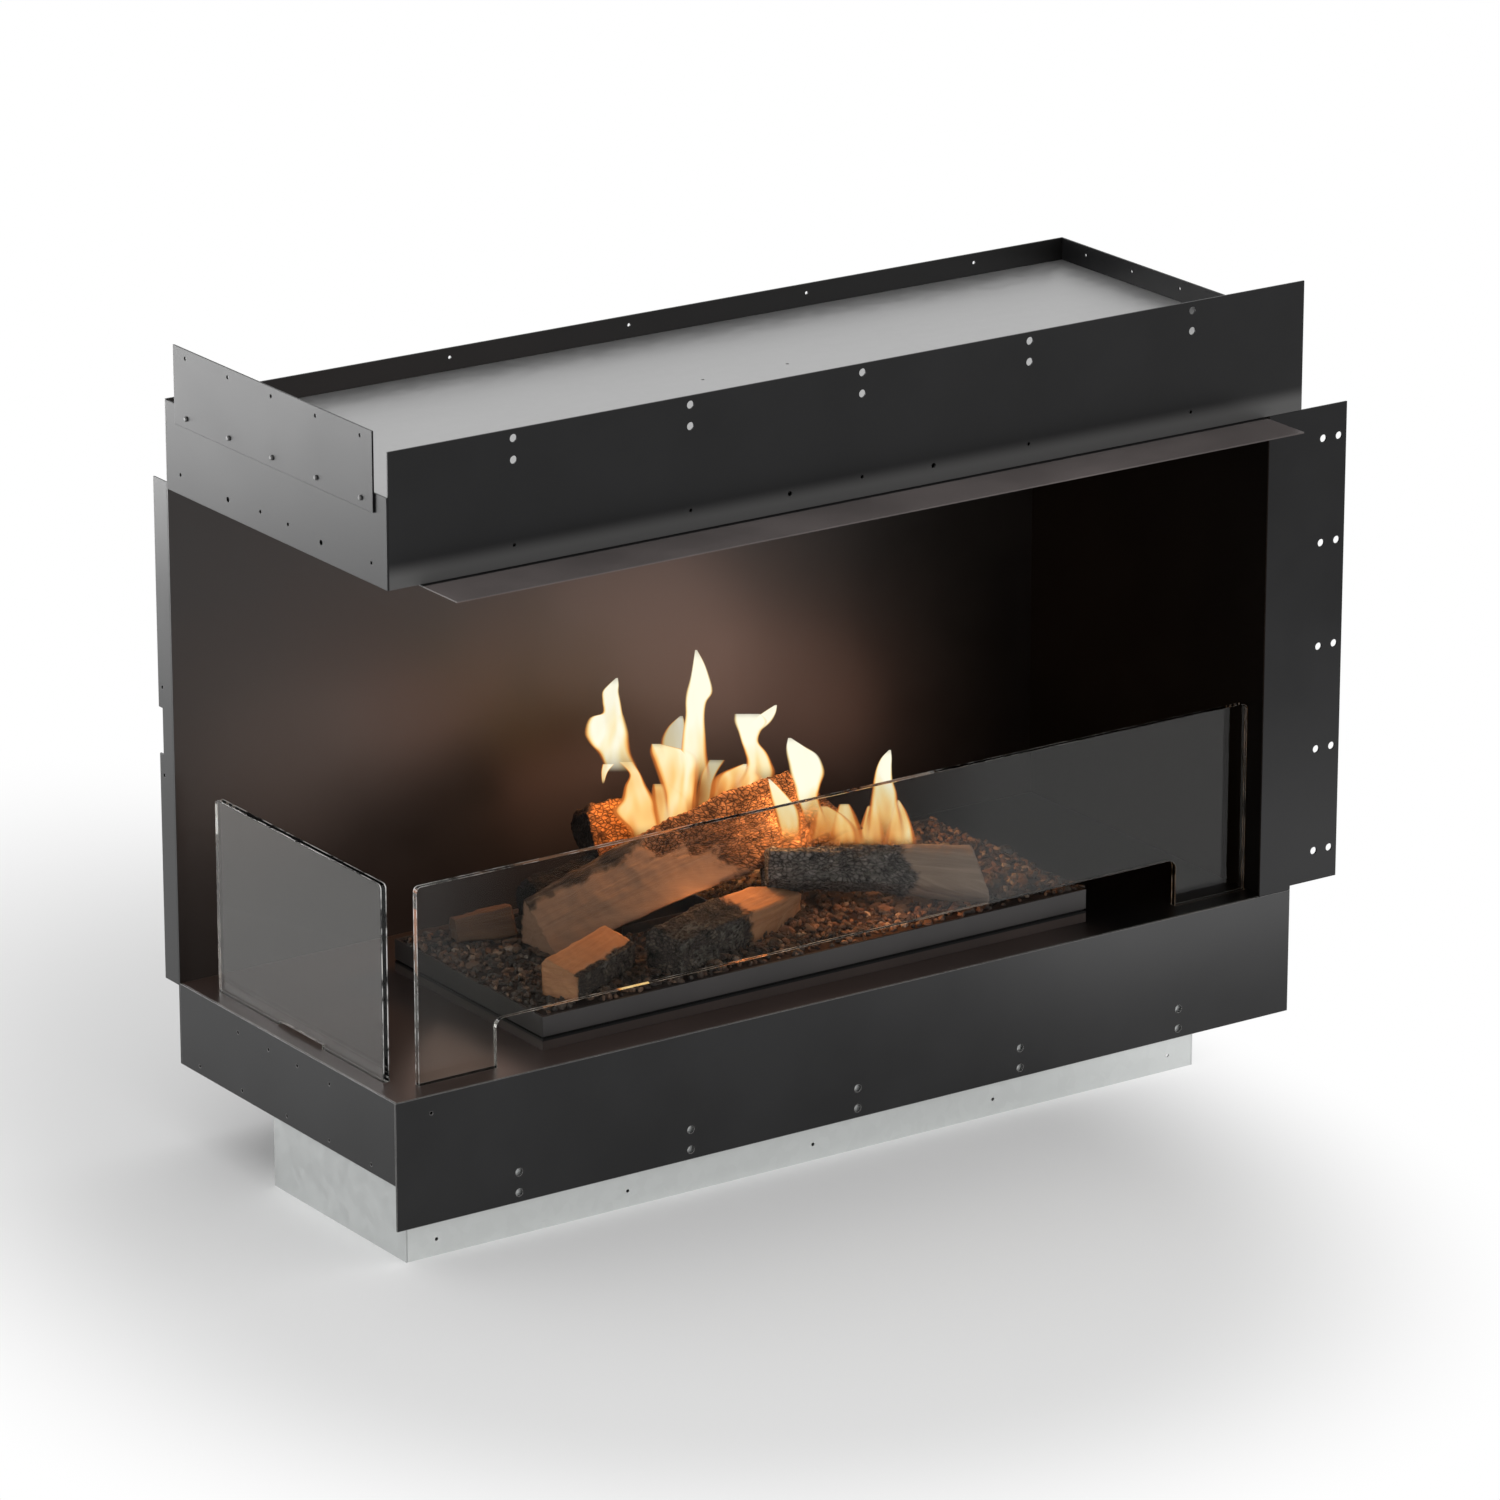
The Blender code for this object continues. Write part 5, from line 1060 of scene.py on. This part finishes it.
def floor():
    """Pale floor that keeps the soft shadow near the casing and fades to white farther out."""
    made = bmesh.new()
    bmesh.ops.create_grid(made, x_segments=1, y_segments=1, size=FLOOR_SIZE / 2)
    piece = in_scene("floor", finished_mesh(made, "floor"))
    pale, tree, spot = blank_material("pale_floor")
    middle = place((*FLOOR_MIDDLE, 0))
    across = off_middle(tree, part(tree, spot, 0), middle.x, FADE_TO_RIGHT)
    back = off_middle(tree, part(tree, spot, 1), middle.y, FADE_TO_BACK)
    offset = add(tree, "CombineXYZ", X=across, Y=back).outputs[0]
    length = add(tree, "VectorMath", {"operation": "LENGTH"}, _0=offset).outputs["Value"]
    fade = between(tree, length, *FLOOR_FADE, soft=True)
    shaded = add(tree, "BsdfDiffuse", Color=FLOOR_COLOUR)
    white = add(tree, "Emission", Color=WHITE, Strength=1.0)
    share = product(tree, fade, seen_directly(tree))
    show(pale, add(tree, "MixShader", _0=share, _1=shaded.outputs[0], _2=white.outputs[0]))
    piece.data.materials.append(pale)


def lamp(name, kind, where, power, colour, **seen_by):
    """A lamp that the camera and the glass don't show."""
    data = bpy.data.lights.new(name, kind)
    data.energy = power
    data.color = colour
    holder = in_scene(name, data)
    holder.location = place(where)
    holder.visible_camera = False
    holder.visible_transmission = False
    for ray, seen in seen_by.items():
        setattr(holder, f"visible_{ray}", seen)
    return holder


def receivers(name, pieces):
    """A collection of the pieces that a lamp lights."""
    made = bpy.data.collections.new(name + "_receivers")
    for piece in pieces:
        made.objects.link(piece)
    return made


def nodes(names):
    """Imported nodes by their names."""
    return [frame["nodes"][name] for name in names]


def panels():
    """Bright panels that satin surfaces mirror."""
    for name, where, towards, (width, height), brightness, lit in PANELS:
        panel = lamp(name, "AREA", where, brightness * pi * width * height, WHITE, diffuse=False)
        panel.data.shape = "RECTANGLE"
        panel.data.size = width
        panel.data.size_y = height
        panel.rotation_euler = (place(towards) - place(where)).to_track_quat("-Z", "Y").to_euler()
        if lit:
            panel.light_linking.receiver_collection = receivers(name, nodes(lit))


def fire_light():
    """The fire's own light, which the photograph doesn't show on the floor, and its sheen."""
    all_but_floor = receivers("fire", [bpy.data.objects["floor"]])
    all_but_floor.collection_objects[0].light_linking.link_state = "EXCLUDE"
    chips_alone = receivers("ember", [bpy.data.objects["loose_chips"]])
    for kind, colour, lamps, lit in (("fire", FIRE_COLOUR, FIRE_LAMPS, all_but_floor),
                                     ("ember", EMBER_COLOUR, EMBER_LAMPS, chips_alone)):
        for number, (where, power, radius) in enumerate(lamps, 1):
            glow = lamp(f"{kind}_light_{number}", "POINT", where, power, colour, glossy=False)
            glow.data.shadow_soft_size = radius
            glow.light_linking.receiver_collection = lit
    for number, (where, brightness, radius, colour, lit) in enumerate(SHEEN_LAMPS, 1):
        power = brightness * (2 * pi * radius) ** 2
        sheen = lamp(f"sheen_light_{number}", "POINT", where, power, colour, diffuse=False)
        sheen.data.shadow_soft_size = radius
        sheen.data.use_shadow = False
        sheen.light_linking.receiver_collection = receivers(sheen.name, nodes(lit))


def room():
    """The white room, at full white where it is seen and a little below that as light."""
    world = bpy.data.worlds.new("pale_room")
    bpy.context.scene.world = world
    world.use_nodes = True
    tree = world.node_tree
    tree.nodes.clear()
    tree.nodes.new("ShaderNodeOutputWorld")
    strength = maths(tree, "MULTIPLY_ADD", seen_directly(tree), 1.0 - WORLD_LIGHT, WORLD_LIGHT)
    show(world, add(tree, "Background", Color=WHITE, Strength=strength))


def camera():
    """The photograph's viewpoint."""
    data = bpy.data.cameras.new("photo_camera")
    data.lens = CAMERA_LENS
    data.sensor_width = CAMERA_SENSOR
    data.clip_end = FLOOR_SIZE * 2
    holder = in_scene("photo_camera", data)
    holder.location = place(CAMERA_PLACE)
    holder.rotation_euler = (radians(90 - CAMERA_DOWN), 0, radians(CAMERA_TURN))
    bpy.context.scene.camera = holder
    bpy.context.scene.view_settings.view_transform = "Standard"


floor()
camera()
dress()
logs()
chips(chip_finish("ceramic_chips_loose"))
flames()
panels()
fire_light()
room()
